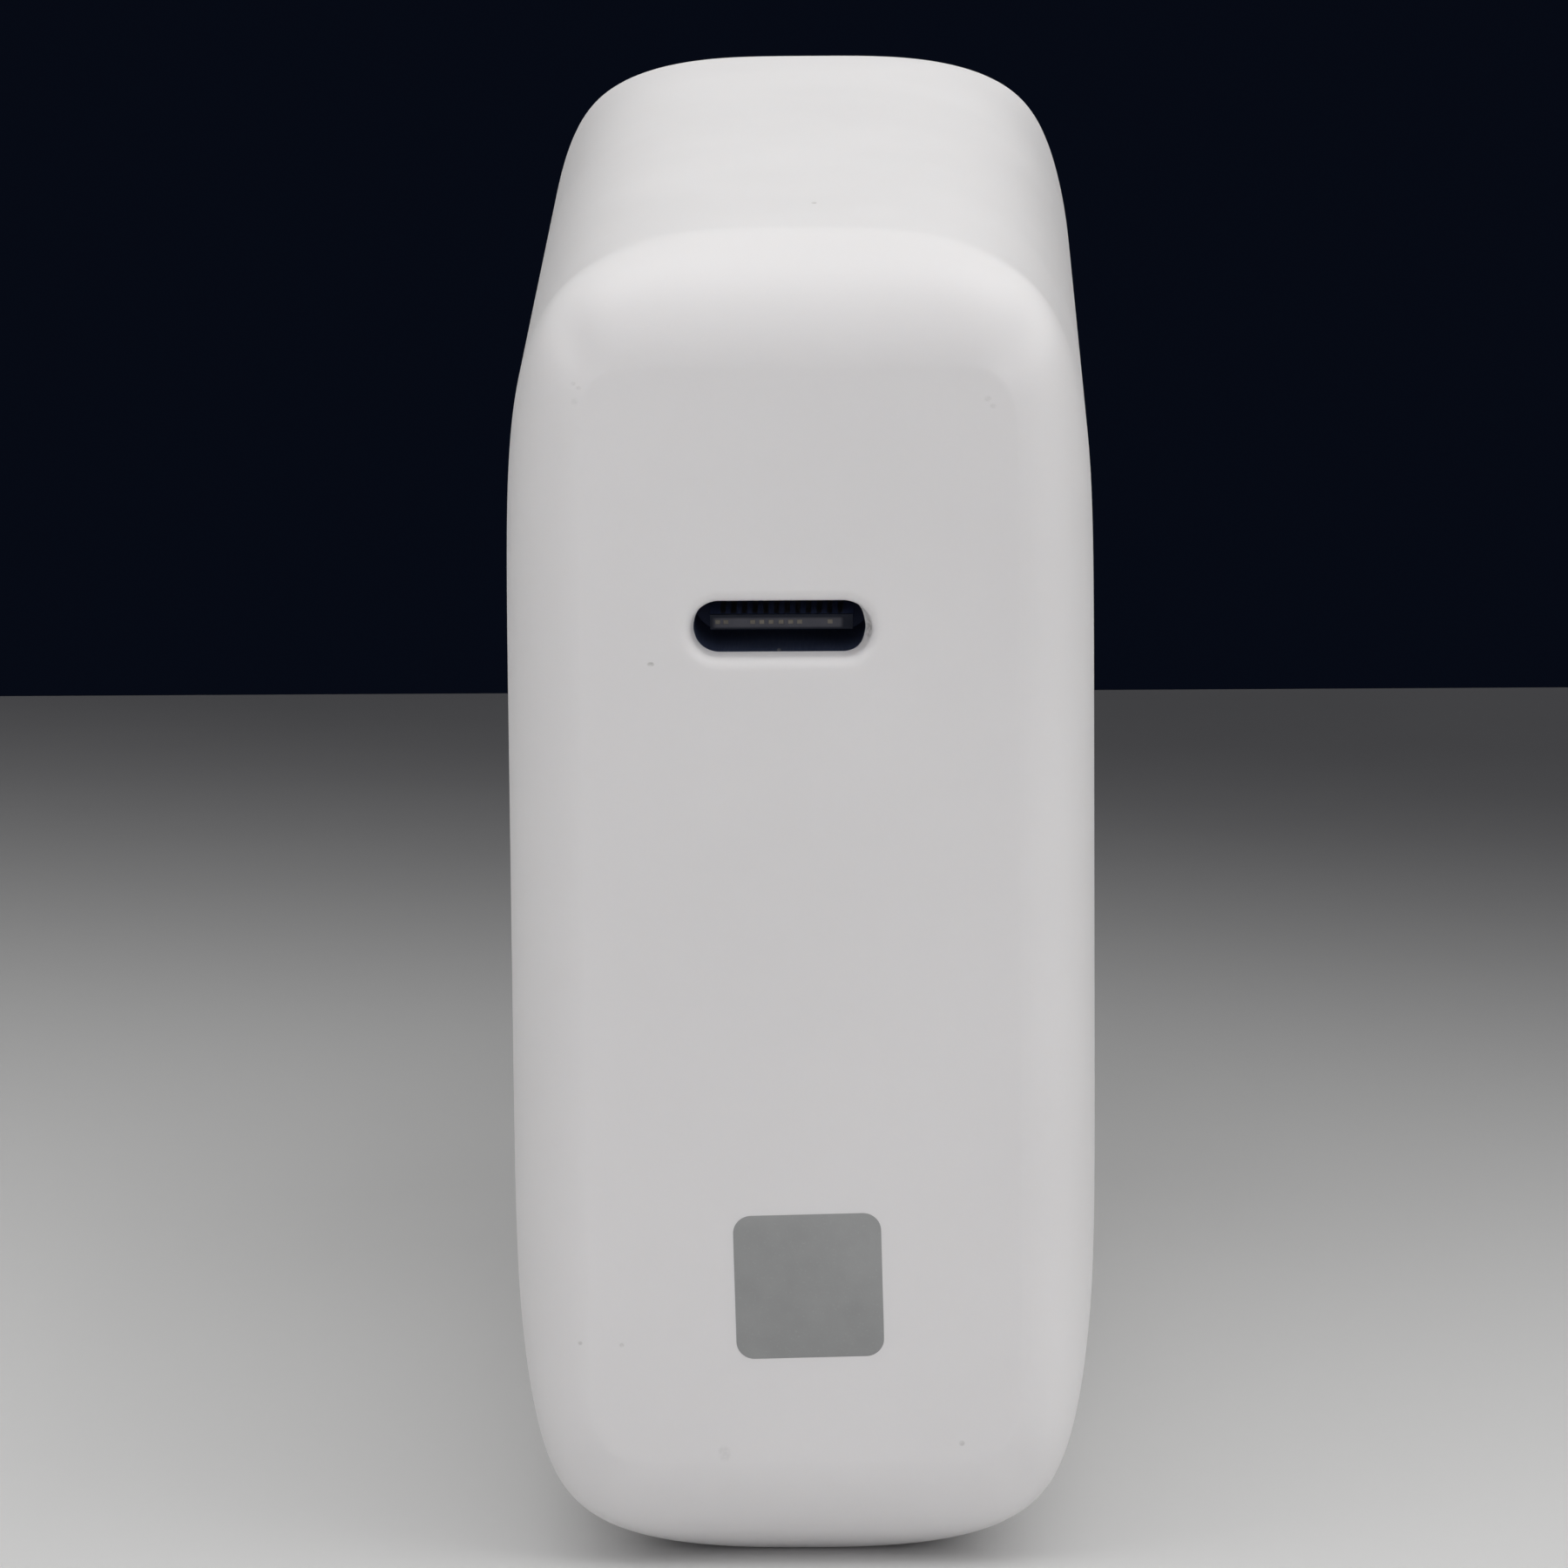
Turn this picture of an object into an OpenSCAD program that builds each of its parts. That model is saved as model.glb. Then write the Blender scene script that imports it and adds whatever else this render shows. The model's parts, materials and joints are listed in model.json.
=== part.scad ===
// Mains charger with one USB-C socket and a fixed two-pin plug.
// It stands on its narrow side: X is its width, Y runs from the port face back to the plug, Z is up.
// The origin is the middle of the flat strip that it stands on. Sizes are in millimetres.

/* [Body] */
// Width between the two broad sides
body_w = 27.7; // [27:0.1:36]
// Height, standing on the narrow side
body_h = 64; // [62:0.5:80]
// Depth from the port face to the plug side's face
body_d = 66; // [64:0.5:84]
// Width of the flat strip that it stands on
foot_w = 10; // [6:0.5:14]
// Squareness of the outline across the width: 2 is an ellipse
outline_power_w = 3.36; // [3:0.02:5]
// Squareness of the outline along the height: 2 is an ellipse
outline_power_h = 7.34; // [6:0.02:10]
// Wall of the shell's sides
wall = 2.2; // [1.6:0.1:2.4]
// Wall of the port face
face_wall = 2.4; // [1.8:0.1:3]

/* [Rounded edges] */
// How far the rounding reaches in from the broad sides
edge_w = 3.6; // [3:0.1:4.6]
// How far the rounding reaches in from the narrow sides
edge_h = 5.7; // [4.5:0.1:7]
// How far the rounding reaches along the depth
edge_d = 5.5; // [4:0.1:7]
// Squareness of the flat port face across the width
face_power_w = 6.5; // [4:0.1:9]
// Squareness of the flat port face along the height
face_power_h = 14; // [8:0.5:20]

/* [Rear cover] */
// Angle on the rear rounding at which shell and cover meet
seam_angle = 24; // [10:1:35]
// Length of the cover's lip inside the shell
lip_l = 4; // [2:0.1:5]
// Wall of the lip
lip_t = 1.2; // [0.8:0.1:1.6]
// Gap between the lip and the shell
lip_gap = 0.1; // [0.05:0.05:0.25]
// Depth of the fine groove along the seam
seam_groove = 0.15; // [0.1:0.05:0.3]
// Height of the plug's nose
nose_h = 35.3; // [32:0.1:40]
// Width of the plug's nose
nose_w = 13.7; // [12.5:0.1:16]
// How far the nose stands out of the cover
nose_l = 17; // [10:0.5:20]
// Size of the slants at the nose's ends
nose_bevel = 5.35; // [3:0.05:6]
// Rounding of the edge of the nose's face
nose_edge = 0.8; // [0.4:0.1:1.2]
// Wall of the hollow nose
nose_wall = 2; // [1.5:0.1:2.4]
// Rounding where the nose meets the cover
nose_foot = 0.7; // [0.3:0.1:1]

/* [Plug pins] */
// Distance between the pins
pin_pitch = 18.6; // [17:0.1:20]
// Diameter of a bare pin
pin_d = 4; // [3.6:0.1:4.8]
// Diameter of a pin where it is moulded into the nose
pin_root_d = 3.4; // [3.2:0.1:3.6]
// Length of a pin outside the nose
pin_l = 19; // [15:0.5:23]
// Outer diameter of an insulating sleeve
sleeve_d = 3.6; // [3.2:0.1:4.6]
// Length of a sleeve outside the nose
sleeve_l = 10; // [8:0.5:12]
// Wall of a sleeve
sleeve_t = 0.4; // [0.3:0.05:0.5]
// Depth of a sleeve inside the nose
sleeve_in = 2; // [1:0.5:3]
// Diameter of the collar that locks a pin in the nose
collar_d = 5.2; // [5:0.1:6]
// Thickness of that collar
collar_t = 1; // [0.6:0.1:2]

/* [USB-C socket] */
// Socket's distance from the body's centre line, to the left
port_left = 0.85; // [0:0.05:2]
// Height of the socket's centre above the body's middle
port_up = 13.9; // [10:0.1:15]
// Width of the socket's opening
port_w = 8.34; // [8.3:0.01:8.4]
// Height of the socket's opening
port_h = 2.56; // [2.5:0.01:2.6]
// Sheet thickness of the metal shell
port_sheet = 0.3; // [0.2:0.05:0.35]
// Length of the metal shell
port_l = 7.35; // [6.5:0.05:9]
// Width of the tongue
tongue_w = 6.69; // [6.6:0.01:6.75]
// Thickness of the tongue over its contacts
tongue_t = 0.7; // [0.65:0.01:0.75]
// Distance of the tongue's tip behind the shell's mouth
tongue_in = 0.9; // [0.6:0.05:1.2]
// Length of the block that fills the shell's rear
tongue_block = 1.8; // [1.2:0.1:2.5]
// Thickness of the housing lip in front of the metal shell
port_lip = 1; // [0.8:0.1:1.4]
// Gap between a plug's way in and the housing hole
port_gap = 0.05; // [0.03:0.01:0.2]
// Chamfer round the hole
port_chamfer = 0.45; // [0.3:0.05:0.6]

/* [Boards] */
// Thickness of the main board
board_t = 1.6; // [1.2:0.1:2]
// Height of the main board
board_h = 49; // [47:0.5:50]
// Distance of the main board's middle plane from the right wall
board_wall = 1.95; // [1.9:0.05:2.4]
// Thickness of the port board
port_board_t = 1; // [0.8:0.1:1.2]
// Depth of the port board
port_board_d = 22; // [20:0.5:24]
// Sliding gap of a board in its rails
board_gap = 0.15; // [0.1:0.05:0.25]
// Thickness of a rail
rail_t = 1.2; // [0.8:0.1:1.4]
// How far a rail reaches over a board's edge
rail_over = 1.3; // [0.8:0.1:2]

/* [Parts inside] */
// Thickness of the insulation sheet
sheet_t = 0.4; // [0.2:0.05:0.6]
// Thickness of the pad on the transformer
pad_t = 1.5; // [1:0.1:2]
// Gap between the tall cans and the insulation sheet
can_gap = 0.3; // [0.2:0.1:1]
// Diameter of a high-voltage can
can_d = 12.4; // [10:0.1:12.6]
// Number of high-voltage cans
can_count = 3; // [2:1:3]
// Height of the transformer's core along the board
core_w = 24; // [23:0.1:25]
// Depth of the transformer's core
core_d = 15; // [13:0.1:16]
// Radius of the transformer's winding room
window_r = 9.6; // [8.8:0.1:9.8]
// Radius of the core's centre leg
leg_r = 4.3; // [3.8:0.1:4.6]
// Outer diameter of the filter choke's ring
choke_d = 12; // [11:0.5:13]
// Inner diameter of the filter choke's ring
choke_bore = 6.4; // [6:0.2:7]
// Width of the filter choke's ring
choke_w = 5; // [4:0.5:6]
// Wire diameter of the filter choke
choke_wire = 0.7; // [0.5:0.05:0.8]
// Turns on each half of the filter choke
choke_turns = 7; // [5:1:8]

/* [Hidden] */
$fn = 48;

// Resolution of the lofted shell and cover
ring_points = 96;
edge_steps = 8;
seam_steps = 3;
foot_steps = 3;
// Overlap of tools that cut through a face
eps = 0.01;
cut = 1;

// The foot strip cuts a thin slice off the outline, so the outline is a little taller than the body
foot_share = pow(1 - pow(foot_w / body_w, outline_power_w), 1 / outline_power_h);
half_h = body_h / (1 + foot_share);
mid_z = body_h - half_h;
half_w = body_w / 2;
front_y = -body_d / 2;
back_y = body_d / 2;
front_ring_y = front_y + edge_d;
back_ring_y = back_y - edge_d;
seam_y = back_ring_y + edge_d * sin(seam_angle);
cavity_front = front_y + face_wall;
cover_inner = back_y - face_wall;
groove_turn = 2 * seam_groove / edge_d * 180 / PI;

// Socket: the metal shell stands in a pocket behind the housing's lip
port_x = -port_left;
port_z = mid_z + port_up;
port_mouth = front_y + port_lip + board_gap;
port_outer_w = port_w + 2 * port_sheet;
port_outer_h = port_h + 2 * port_sheet;
tongue_tip = port_mouth + tongue_in;
port_back = port_mouth + port_l;
contact_pitch = 0.5;
contact_rows = 12;
contact_w = 0.25;
contact_t = 0.1;
mid_plate_t = 0.15;
mid_plate_edge = 0.4;
contact_start = 0.35;
tongue_root_t = 1.1;
tongue_root_l = 1.2;
tongue_root_r = 0.3;
tab_y = [port_mouth + 2.6, port_back - 1.2];
tab_l = 1;
tab_room = 0.2;

// Boards
board_face = half_w - wall - board_wall - board_t / 2;
board_back = board_face + board_t;
board_front_y = front_ring_y + board_gap * 2;
board_back_y = seam_y - lip_l - board_gap * 2;
port_board_top = port_z - port_outer_h / 2;
port_board_low = port_board_top - port_board_t;
port_board_front = cavity_front + board_gap * 2;
port_board_side = 1.05;
port_board_left = -half_w + wall + port_board_side;
rail_edge = board_h / 2 - rail_over;
rail_root = 0.3;
ledge_l = 3;
ledge_root = 0.8;
ledge_reach = port_board_left + 1;

// Insulation sheet: flat against the left wall at its own upper and lower edges
sheet_half = 20;
sheet_room = 0.05;
inner_half_w = half_w - wall;
inner_half_h = half_h - wall;
sheet_out = -inner_half_w * pow(1 - pow(sheet_half / inner_half_h, outline_power_h),
    1 / outline_power_w) + sheet_room;
sheet_in = sheet_out + sheet_t;
sheet_front = board_front_y + 1;
sheet_back = board_back_y - 1;
room = board_face - sheet_in;

// Plug
nose_face = back_y + nose_l;
pin_tip = nose_face + pin_l;
pin_core_d = sleeve_d - 2 * sleeve_t;
pin_tip_r = 1.4;
tail_end = board_back_y;
boss_wall = 1.6;
boss_d = collar_d + 2 * boss_wall;
collar_y = back_y + 4;
contact_sheet = 0.6;
contact_h = 5;
contact_foot = 4;
nose_power = 20;

// Through-hole leads
lead_r = 0.4;
hole_gap = 0.15;
lead_stub = 0.5;
seat = 0.2;
disc_lift = 0.8;

// Colours used more than once
white_plastic = [0.93, 0.92, 0.91];
copper = [0.72, 0.38, 0.18];
epoxy = [0.1, 0.1, 0.1];
aluminium = [0.75, 0.76, 0.78];
blue_coat = [0.17, 0.35, 0.65];

// Places of the parts on the main board, from its middle height and its front edge
transformer_y = board_front_y + 13.2;
transformer_z = mid_z - 3.8;
standoff = 2;
core_h = room - pad_t - standoff;
core_half = core_h / 2;
core_plate = 3;
bobbin_gap = 0.1;
bobbin_wall = 0.8;
rail_d = 2.4;
rail_w = 18;
tape_t = 0.3;
flange_r = window_r - 0.3;
coil_r = flange_r - 0.5;
bobbin_pins = 4;
bobbin_pin_pitch = 4;
bobbin_notch = 2.5;
bobbin_notch_up = 1.4;

can_y = transformer_y + core_d / 2 + rail_d + can_d / 2 + 1.2;
can_pitch = can_d + 0.5;
can_low_z = mid_z - 16.6;
can_h = room - can_gap;
can_lead = 5;
can_bung = 0.8;
can_rim = 0.6;
can_bead = 0.6;
can_bead_in = 0.3;
can_vent = [0.3, 0.4];
function can_z(i) = can_low_z + i * can_pitch;

rear_y = can_y + can_d / 2 + 1;
choke_play = 0.15;
choke_z = mid_z - 14.6;
choke_half_y = choke_w / 2 + choke_wire + choke_play;
choke_y = rear_y + choke_half_y;
choke_base = 1.2;
choke_x_up = choke_base + choke_d / 2 + choke_wire + choke_play;
choke_lead = 6;
choke_step = 18.5;
choke_side = choke_half_y - choke_wire / 2;
choke_lead_in = 0.6;
choke_spots = concat(shifted(pair(choke_lead), [0, -choke_side]),
    shifted(pair(choke_lead), [0, choke_side]));

bridge_w = 13;
bridge_t = 3.4;
bridge_h = 10.5;
bridge_lift = 1.5;
bridge_y = rear_y + bridge_t / 2;
bridge_z = mid_z;
bridge_leads = 4;
bridge_lead_pitch = 3.2;

film_w = 12.5;
film_t = 5;
film_h = 11;
film_r = 0.6;
film_lead = 10;
film_y = bridge_y + bridge_t / 2 + 0.8 + film_t / 2;
film_z = mid_z;

drum_d = 8;
drum_h = 10;
drum_flange = 1.6;
drum_groove = 0.8;
drum_y = rear_y + drum_d / 2;
drum_z = mid_z + 12.2;
drum_lead = 5;

fuse_d = 3.6;
fuse_l = 8;
fuse_y = rear_y + 3.6;
fuse_z = mid_z + 19.6;
fuse_lead = 11;

surge_d = 9;
surge_t = 3.6;
surge_y = board_back_y - 0.4 - surge_t / 2;
surge_z = mid_z - 18.4;
surge_lead = 5;
disc_lead_in = 1.3;

safety_d = 8;
safety_t = 3.4;
safety_y = can_y - 0.6;
safety_z = can_z(can_count - 1) + can_d / 2 + 0.7 + safety_t / 2;
safety_lead = 5;

// Chips: [width, length, height, legs on a side, leg pitch, reach of a leg]
opto_size = [4.4, 4.4, 2.2, 2, 2.54, 1];
controller_size = [1.6, 2.9, 1.1, 3, 0.95, 0.6];
rectifier_size = [3.9, 4.9, 1.2, 4, 1.27, 0.5];
delivery_size = [4, 4, 0.9, 6, 0.6, 0.5];
leg_t = 0.2;
leg_share = 0.35;
chip_lift = 0.15;

opto_y = transformer_y + core_d / 2 + 0.4;
opto_z = mid_z + 17;
chip_y = can_y - 1;
chip_z = mid_z + 21.2;

plate_t = 1.2;
plate_z = transformer_z - core_w / 2 - 0.8 - plate_t;
plate_l = 17;
plate_h = 15;
plate_y = transformer_y - plate_l / 2;
plate_foot = 4;
switch_w = 10;
switch_t = 3.6;
switch_h = 13.5;
switch_lead = 2.54;
switch_leads = 3;
switch_z = plate_z - switch_t;
screw_x = 9.5;
screw_r = 1.2;
screw_head_r = 2.3;
screw_head_t = 1.3;
screw_slot = [3, 0.5, 1.2];
switch_lift = 2.5;

rectifier_y = transformer_y + core_d / 2 + 0.7;
rectifier_z = mid_z + 10.5;

// Chip capacitors on the main board's outer face, behind the transformer
passive_l = 1.6;
passive_w = 0.8;
passive_h = 0.5;
passive_cap = 0.3;
passive_skin = 0.05;
passive_pitch = [2.6, 3.2];
passive_count = [4, 3];

// Parts on the port board
out_can_d = 8;
out_can_h = 10.5;
out_can_y = port_back + 1.2 + out_can_d / 2;
out_can_x = [port_x - 4.6, port_x + 4.6];
out_can_lead = 3.5;
delivery_y = port_board_front + port_board_d - 3;
link_d = 15;
link_w = 2.5;
link_pin = 0.64;
link_count = 6;
link_pitch = 2.2;
link_hole_r = link_pin * sqrt(0.5) + 0.03;
link_y = port_board_front + port_board_d / 2 + 2;

// Leads of every part that stands on the main board: [place along Y, place along Z, spots, radius]
function pair(gap) = [[-gap / 2, 0], [gap / 2, 0]];
function row(count, gap) = [for (i = [0:count - 1]) [(i - (count - 1) / 2) * gap, 0]];
function turned(spots) = [for (s = spots) [s[1], s[0]]];
function shifted(spots, by) = [for (s = spots) s + by];
core_rail_y = core_d / 2 + rail_d / 2 + bobbin_gap * 2;
bobbin_spots = concat(shifted(row(bobbin_pins, bobbin_pin_pitch), [0, -core_rail_y]),
    shifted(row(bobbin_pins, bobbin_pin_pitch), [0, core_rail_y]));
MAIN_LEADS = concat(
    [for (i = [0:can_count - 1]) [can_y, can_z(i), pair(can_lead), lead_r]],
    [[transformer_y, transformer_z, bobbin_spots, lead_r],
        [choke_y, choke_z, choke_spots, choke_wire / 2],
        [bridge_y, bridge_z, row(bridge_leads, bridge_lead_pitch), lead_r],
        [film_y, film_z, pair(film_lead), lead_r],
        [drum_y, drum_z, turned(pair(drum_lead)), lead_r],
        [fuse_y, fuse_z, turned(pair(fuse_lead)), lead_r],
        [surge_y, surge_z, pair(surge_lead), lead_r],
        [safety_y, safety_z, turned(pair(safety_lead)), lead_r],
        [transformer_y, switch_z + switch_t / 2, turned(row(switch_leads, switch_lead)), lead_r]]);

// Outline of the body

function signed_power(v, n) = sign(v) * pow(abs(v), n);
function blend(a, b, t) = a + (b - a) * t;

// Closed ring of points at depth y on a squared ellipse, kept above the foot's plane
function ring(hw, hh, pw, ph, y) = [
    for (i = [0:ring_points - 1])
        let (a = 360 * i / ring_points)
        [hw * signed_power(cos(a), 2 / pw), y,
            mid_z + max(hh * signed_power(sin(a), 2 / ph), -mid_z)]
];

// Ring of the side wall, moved inwards by inset
function side_ring(inset, y) =
    ring(half_w - inset, half_h - inset, outline_power_w, outline_power_h, y);

// Ring on a rounded edge: t is 0 at the side wall and 90 at the flat face.
// The inner skin ends in the same flat outline as the outer one.
function edge_ring(inset, t, y) =
    let (s = 1 - cos(t))
    ring(half_w - blend(inset, edge_w, s), half_h - blend(inset, edge_h, s),
        blend(outline_power_w, face_power_w, s), blend(outline_power_h, face_power_h, s), y);

// Solid skin through a list of rings, closed by its first and last ring
module loft(rings) {
    n = ring_points;
    last = (len(rings) - 1) * n;
    sides = [
        for (k = [0:len(rings) - 2], i = [0:n - 1])
            let (a = k * n + i, b = k * n + (i + 1) % n)
            each [[a, b, b + n], [a, b + n, a + n]]
    ];
    polyhedron([for (r = rings) each r],
        concat([[for (i = [n - 1:-1:0]) i]], sides, [[for (i = [0:n - 1]) last + i]]));
}

// Placement helpers

// Extrudes a flat shape, drawn in X and Z, along Y
module prism_y(from, to) {
    translate([0, to, 0]) rotate([90, 0, 0]) linear_extrude(to - from) children();
}

// Turns parts to stand on the main board: their z is the height over it, x is up, y is depth
module on_main(y, z) {
    translate([board_face, y, z]) rotate([0, -90, 0]) children();
}

module rod_y(r, from, to) {
    translate([0, from, 0]) rotate([-90, 0, 0]) cylinder(h = to - from, r = r);
}

module block(x, y, z) {
    translate([x[0], y[0], z[0]]) cube([x[1] - x[0], y[1] - y[0], z[1] - z[0]]);
}

module slot_shape(w, h) {
    square([w - h, h], center = true);
    for (side = [-1, 1]) translate([side * (w - h) / 2, 0]) circle(d = h);
}

module rounded(w, h, r) {
    square([w - 2 * r, h], center = true);
    square([w, h - 2 * r], center = true);
    for (x = [-1, 1], y = [-1, 1]) translate([x * (w / 2 - r), y * (h / 2 - r)]) circle(r);
}

module leads(spots, r = lead_r, up = seat) {
    for (s = spots)
        translate([s[0], s[1], -board_t - lead_stub])
            cylinder(h = board_t + lead_stub + up, r = r, $fn = 24);
}

// Housing

module port_hole() {
    hole_w = port_w + 2 * port_gap;
    hole_h = port_h + 2 * port_gap;
    reach = (hole_w - hole_h) / 2;
    r = hole_h / 2;
    translate([port_x, 0, port_z]) {
        prism_y(front_y - cut, cavity_front + cut) slot_shape(hole_w, hole_h);
        prism_y(front_y + port_lip, cavity_front + cut)
            slot_shape(port_outer_w + 2 * board_gap, port_outer_h + 2 * board_gap);
        for (side = [-1, 1]) translate([side * reach, front_y, 0]) rotate([-90, 0, 0])
            cylinder(h = port_chamfer, r1 = r + port_chamfer, r2 = r);
        translate([-reach, 0, 0]) rotate([90, 0, 90]) linear_extrude(2 * reach)
            polygon([[front_y, -r - port_chamfer], [front_y, r + port_chamfer],
                [front_y + port_chamfer, r], [front_y + port_chamfer, -r]]);
    }
}

module board_rails() {
    inner_x = [board_face - board_gap - rail_t, board_face - board_gap];
    outer_x = [board_back + board_gap, inner_half_w + rail_root];
    y = [board_front_y, board_back_y];
    for (side = [0, 1]) translate([0, 0, mid_z]) mirror([0, 0, side]) {
        block(inner_x, y, [rail_edge, inner_half_h - 2 * rail_root]);
        block(outer_x, y, [rail_edge, board_h / 2 + rail_t]);
    }
}

module port_ledges() {
    x = [-inner_half_w - ledge_root, ledge_reach];
    y = [cavity_front - cut, cavity_front + ledge_l];
    block(x, y, [port_board_low - board_gap - rail_t, port_board_low - board_gap]);
    block(x, y, [port_board_top + board_gap, port_board_top + board_gap + rail_t]);
}

module housing_shell() {
    color(white_plastic) difference() {
        union() {
            loft(concat(
                [for (i = [edge_steps:-1:0])
                    let (t = 90 * i / edge_steps)
                    edge_ring(0, t, front_ring_y - edge_d * sin(t))],
                [for (i = [0:seam_steps])
                    let (t = (seam_angle - groove_turn) * i / seam_steps)
                    edge_ring(0, t, back_ring_y + edge_d * sin(t))],
                [edge_ring(seam_groove, seam_angle, seam_y), side_ring(wall, seam_y)],
                [for (i = [0:edge_steps])
                    let (t = 90 * i / edge_steps)
                    edge_ring(wall, t, front_ring_y - (edge_d - face_wall) * sin(t))]));
            board_rails();
            port_ledges();
        }
        port_hole();
    }
}

// Ring of the plug's nose, a flattened hexagon with soft corners, in line with the rear face's points
function nose_ring(grow, y) =
    let (w = nose_w / 2 + grow, h = nose_h / 2 + grow,
        slant = (nose_w / 2 + nose_h / 2 - nose_bevel) * sqrt(0.5) + grow)
    [for (p = edge_ring(0, 90, y))
        let (d = [p[0], p[2] - mid_z], u = d / norm(d), x = abs(u[0]), z = abs(u[1]),
            reach = pow(pow(x / w, nose_power) + pow(z / h, nose_power)
                + pow((x + z) * sqrt(0.5) / slant, nose_power), -1 / nose_power))
        [u[0] * reach, y, mid_z + u[1] * reach]];

module pin_bore() {
    rod_y(pin_core_d / 2, cover_inner - cut, back_y + eps);
    rod_y(pin_root_d / 2, back_y, nose_face - sleeve_in);
    rod_y(collar_d / 2, collar_y, collar_y + collar_t);
    rod_y(sleeve_d / 2, nose_face - sleeve_in, nose_face + cut);
}

// The cover's skin starts at the floor of the nose's hollow, comes out over the lip and the
// rounded edge, and ends on the face of the nose
module plug_cover() {
    lip_in = wall + lip_gap + lip_t;
    color(white_plastic) difference() {
        union() {
            loft(concat(
                [nose_ring(-nose_wall, nose_face - nose_wall), nose_ring(-nose_wall, cover_inner),
                    side_ring(lip_in, cover_inner), side_ring(lip_in, seam_y - lip_l),
                    side_ring(wall + lip_gap, seam_y - lip_l), side_ring(wall + lip_gap, seam_y),
                    edge_ring(seam_groove, seam_angle, seam_y)],
                [for (i = [0:edge_steps])
                    let (t = blend(seam_angle + groove_turn, 90, i / edge_steps))
                    edge_ring(0, t, back_ring_y + edge_d * sin(t))],
                [for (i = [0:foot_steps])
                    let (t = 90 * i / foot_steps)
                    nose_ring(nose_foot * (1 - sin(t)), back_y + nose_foot * (1 - cos(t)))],
                [for (i = [0:2])
                    let (t = 45 * i)
                    nose_ring(nose_edge * (cos(t) - 1), nose_face - nose_edge * (1 - sin(t)))]));
            for (side = [-1, 1]) translate([0, 0, mid_z + side * pin_pitch / 2])
                rod_y(boss_d / 2, cover_inner, nose_face - nose_wall / 2);
        }
        for (side = [-1, 1]) translate([0, 0, mid_z + side * pin_pitch / 2]) pin_bore();
    }
}

// Plug pins

module pin(side) {
    color([0.78, 0.78, 0.8]) translate([0, 0, mid_z + side * pin_pitch / 2]) {
        rod_y(pin_core_d / 2, tail_end, back_y);
        rod_y(pin_root_d / 2, back_y, nose_face - sleeve_in);
        rod_y(collar_d / 2, collar_y, collar_y + collar_t);
        rod_y(pin_core_d / 2, nose_face - sleeve_in, nose_face + sleeve_l);
        rod_y(pin_d / 2, nose_face + sleeve_l, pin_tip - pin_tip_r);
        translate([0, pin_tip - pin_tip_r, 0]) rotate([-90, 0, 0]) rotate_extrude() {
            square([pin_d / 2 - pin_tip_r, pin_tip_r]);
            intersection() {
                translate([pin_d / 2 - pin_tip_r, 0]) circle(pin_tip_r);
                square([pin_d / 2, pin_tip_r]);
            }
        }
    }
}

module sleeve(side) {
    color([0.12, 0.12, 0.13]) translate([0, 0, mid_z + side * pin_pitch / 2])
        difference() {
            rod_y(sleeve_d / 2, nose_face - sleeve_in, nose_face + sleeve_l);
            rod_y(pin_core_d / 2, nose_face - sleeve_in - cut, nose_face + sleeve_l + cut);
        }
}

module contact_bracket(side) {
    z = mid_z + side * pin_pitch / 2;
    span = [z - contact_h / 2, z + contact_h / 2];
    color([0.76, 0.58, 0.32]) {
        block([-contact_h / 2, board_face], [tail_end - contact_sheet, tail_end], span);
        block([board_face - contact_sheet, board_face],
            [tail_end - contact_foot, tail_end - contact_sheet], span);
    }
}

// USB-C socket

module usb_shell() {
    color([0.7, 0.71, 0.73]) translate([port_x, 0, port_z]) {
        difference() {
            prism_y(port_mouth, port_back) slot_shape(port_outer_w, port_outer_h);
            prism_y(port_mouth - cut, port_back + cut) slot_shape(port_w, port_h);
        }
        for (side = [-1, 1], y = tab_y) {
            x = side * (port_outer_w - port_sheet) / 2;
            block([x - port_sheet / 2, x + port_sheet / 2], [y - tab_l / 2, y + tab_l / 2],
                [-port_outer_h / 2 - port_board_t, 0]);
        }
    }
}

module contact_row(grow) {
    for (i = [0:contact_rows - 1], side = [-1, 1]) {
        x = (i - (contact_rows - 1) / 2) * contact_pitch;
        z = side * (tongue_t - contact_t) / 2;
        block([x - contact_w / 2, x + contact_w / 2],
            [tongue_tip + contact_start, port_back - tongue_block - tongue_root_l],
            [z - contact_t / 2 - (side < 0 ? grow : 0), z + contact_t / 2 + (side > 0 ? grow : 0)]);
    }
}

module mid_plate(grow) {
    block([-tongue_w / 2 - grow, tongue_w / 2 + grow],
        [tongue_tip + mid_plate_edge, port_back - tongue_block], [-mid_plate_t / 2, mid_plate_t / 2]);
}

module usb_tongue() {
    color([0.1, 0.1, 0.11]) translate([port_x, 0, port_z]) difference() {
        union() {
            prism_y(port_back - tongue_block, port_back) slot_shape(port_w, port_h);
            prism_y(port_back - tongue_block - tongue_root_l, port_back - tongue_block)
                rounded(tongue_w, tongue_root_t, tongue_root_r, $fn = 16);
            block([-tongue_w / 2, tongue_w / 2], [tongue_tip, port_back - tongue_block],
                [-tongue_t / 2, tongue_t / 2]);
        }
        contact_row(cut);
        mid_plate(cut);
    }
}

module usb_contacts() {
    color([0.83, 0.68, 0.35]) translate([port_x, 0, port_z]) contact_row(0);
}

module usb_mid_plate() {
    color([0.6, 0.61, 0.63]) translate([port_x, 0, port_z]) mid_plate(0);
}

// Boards

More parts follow.
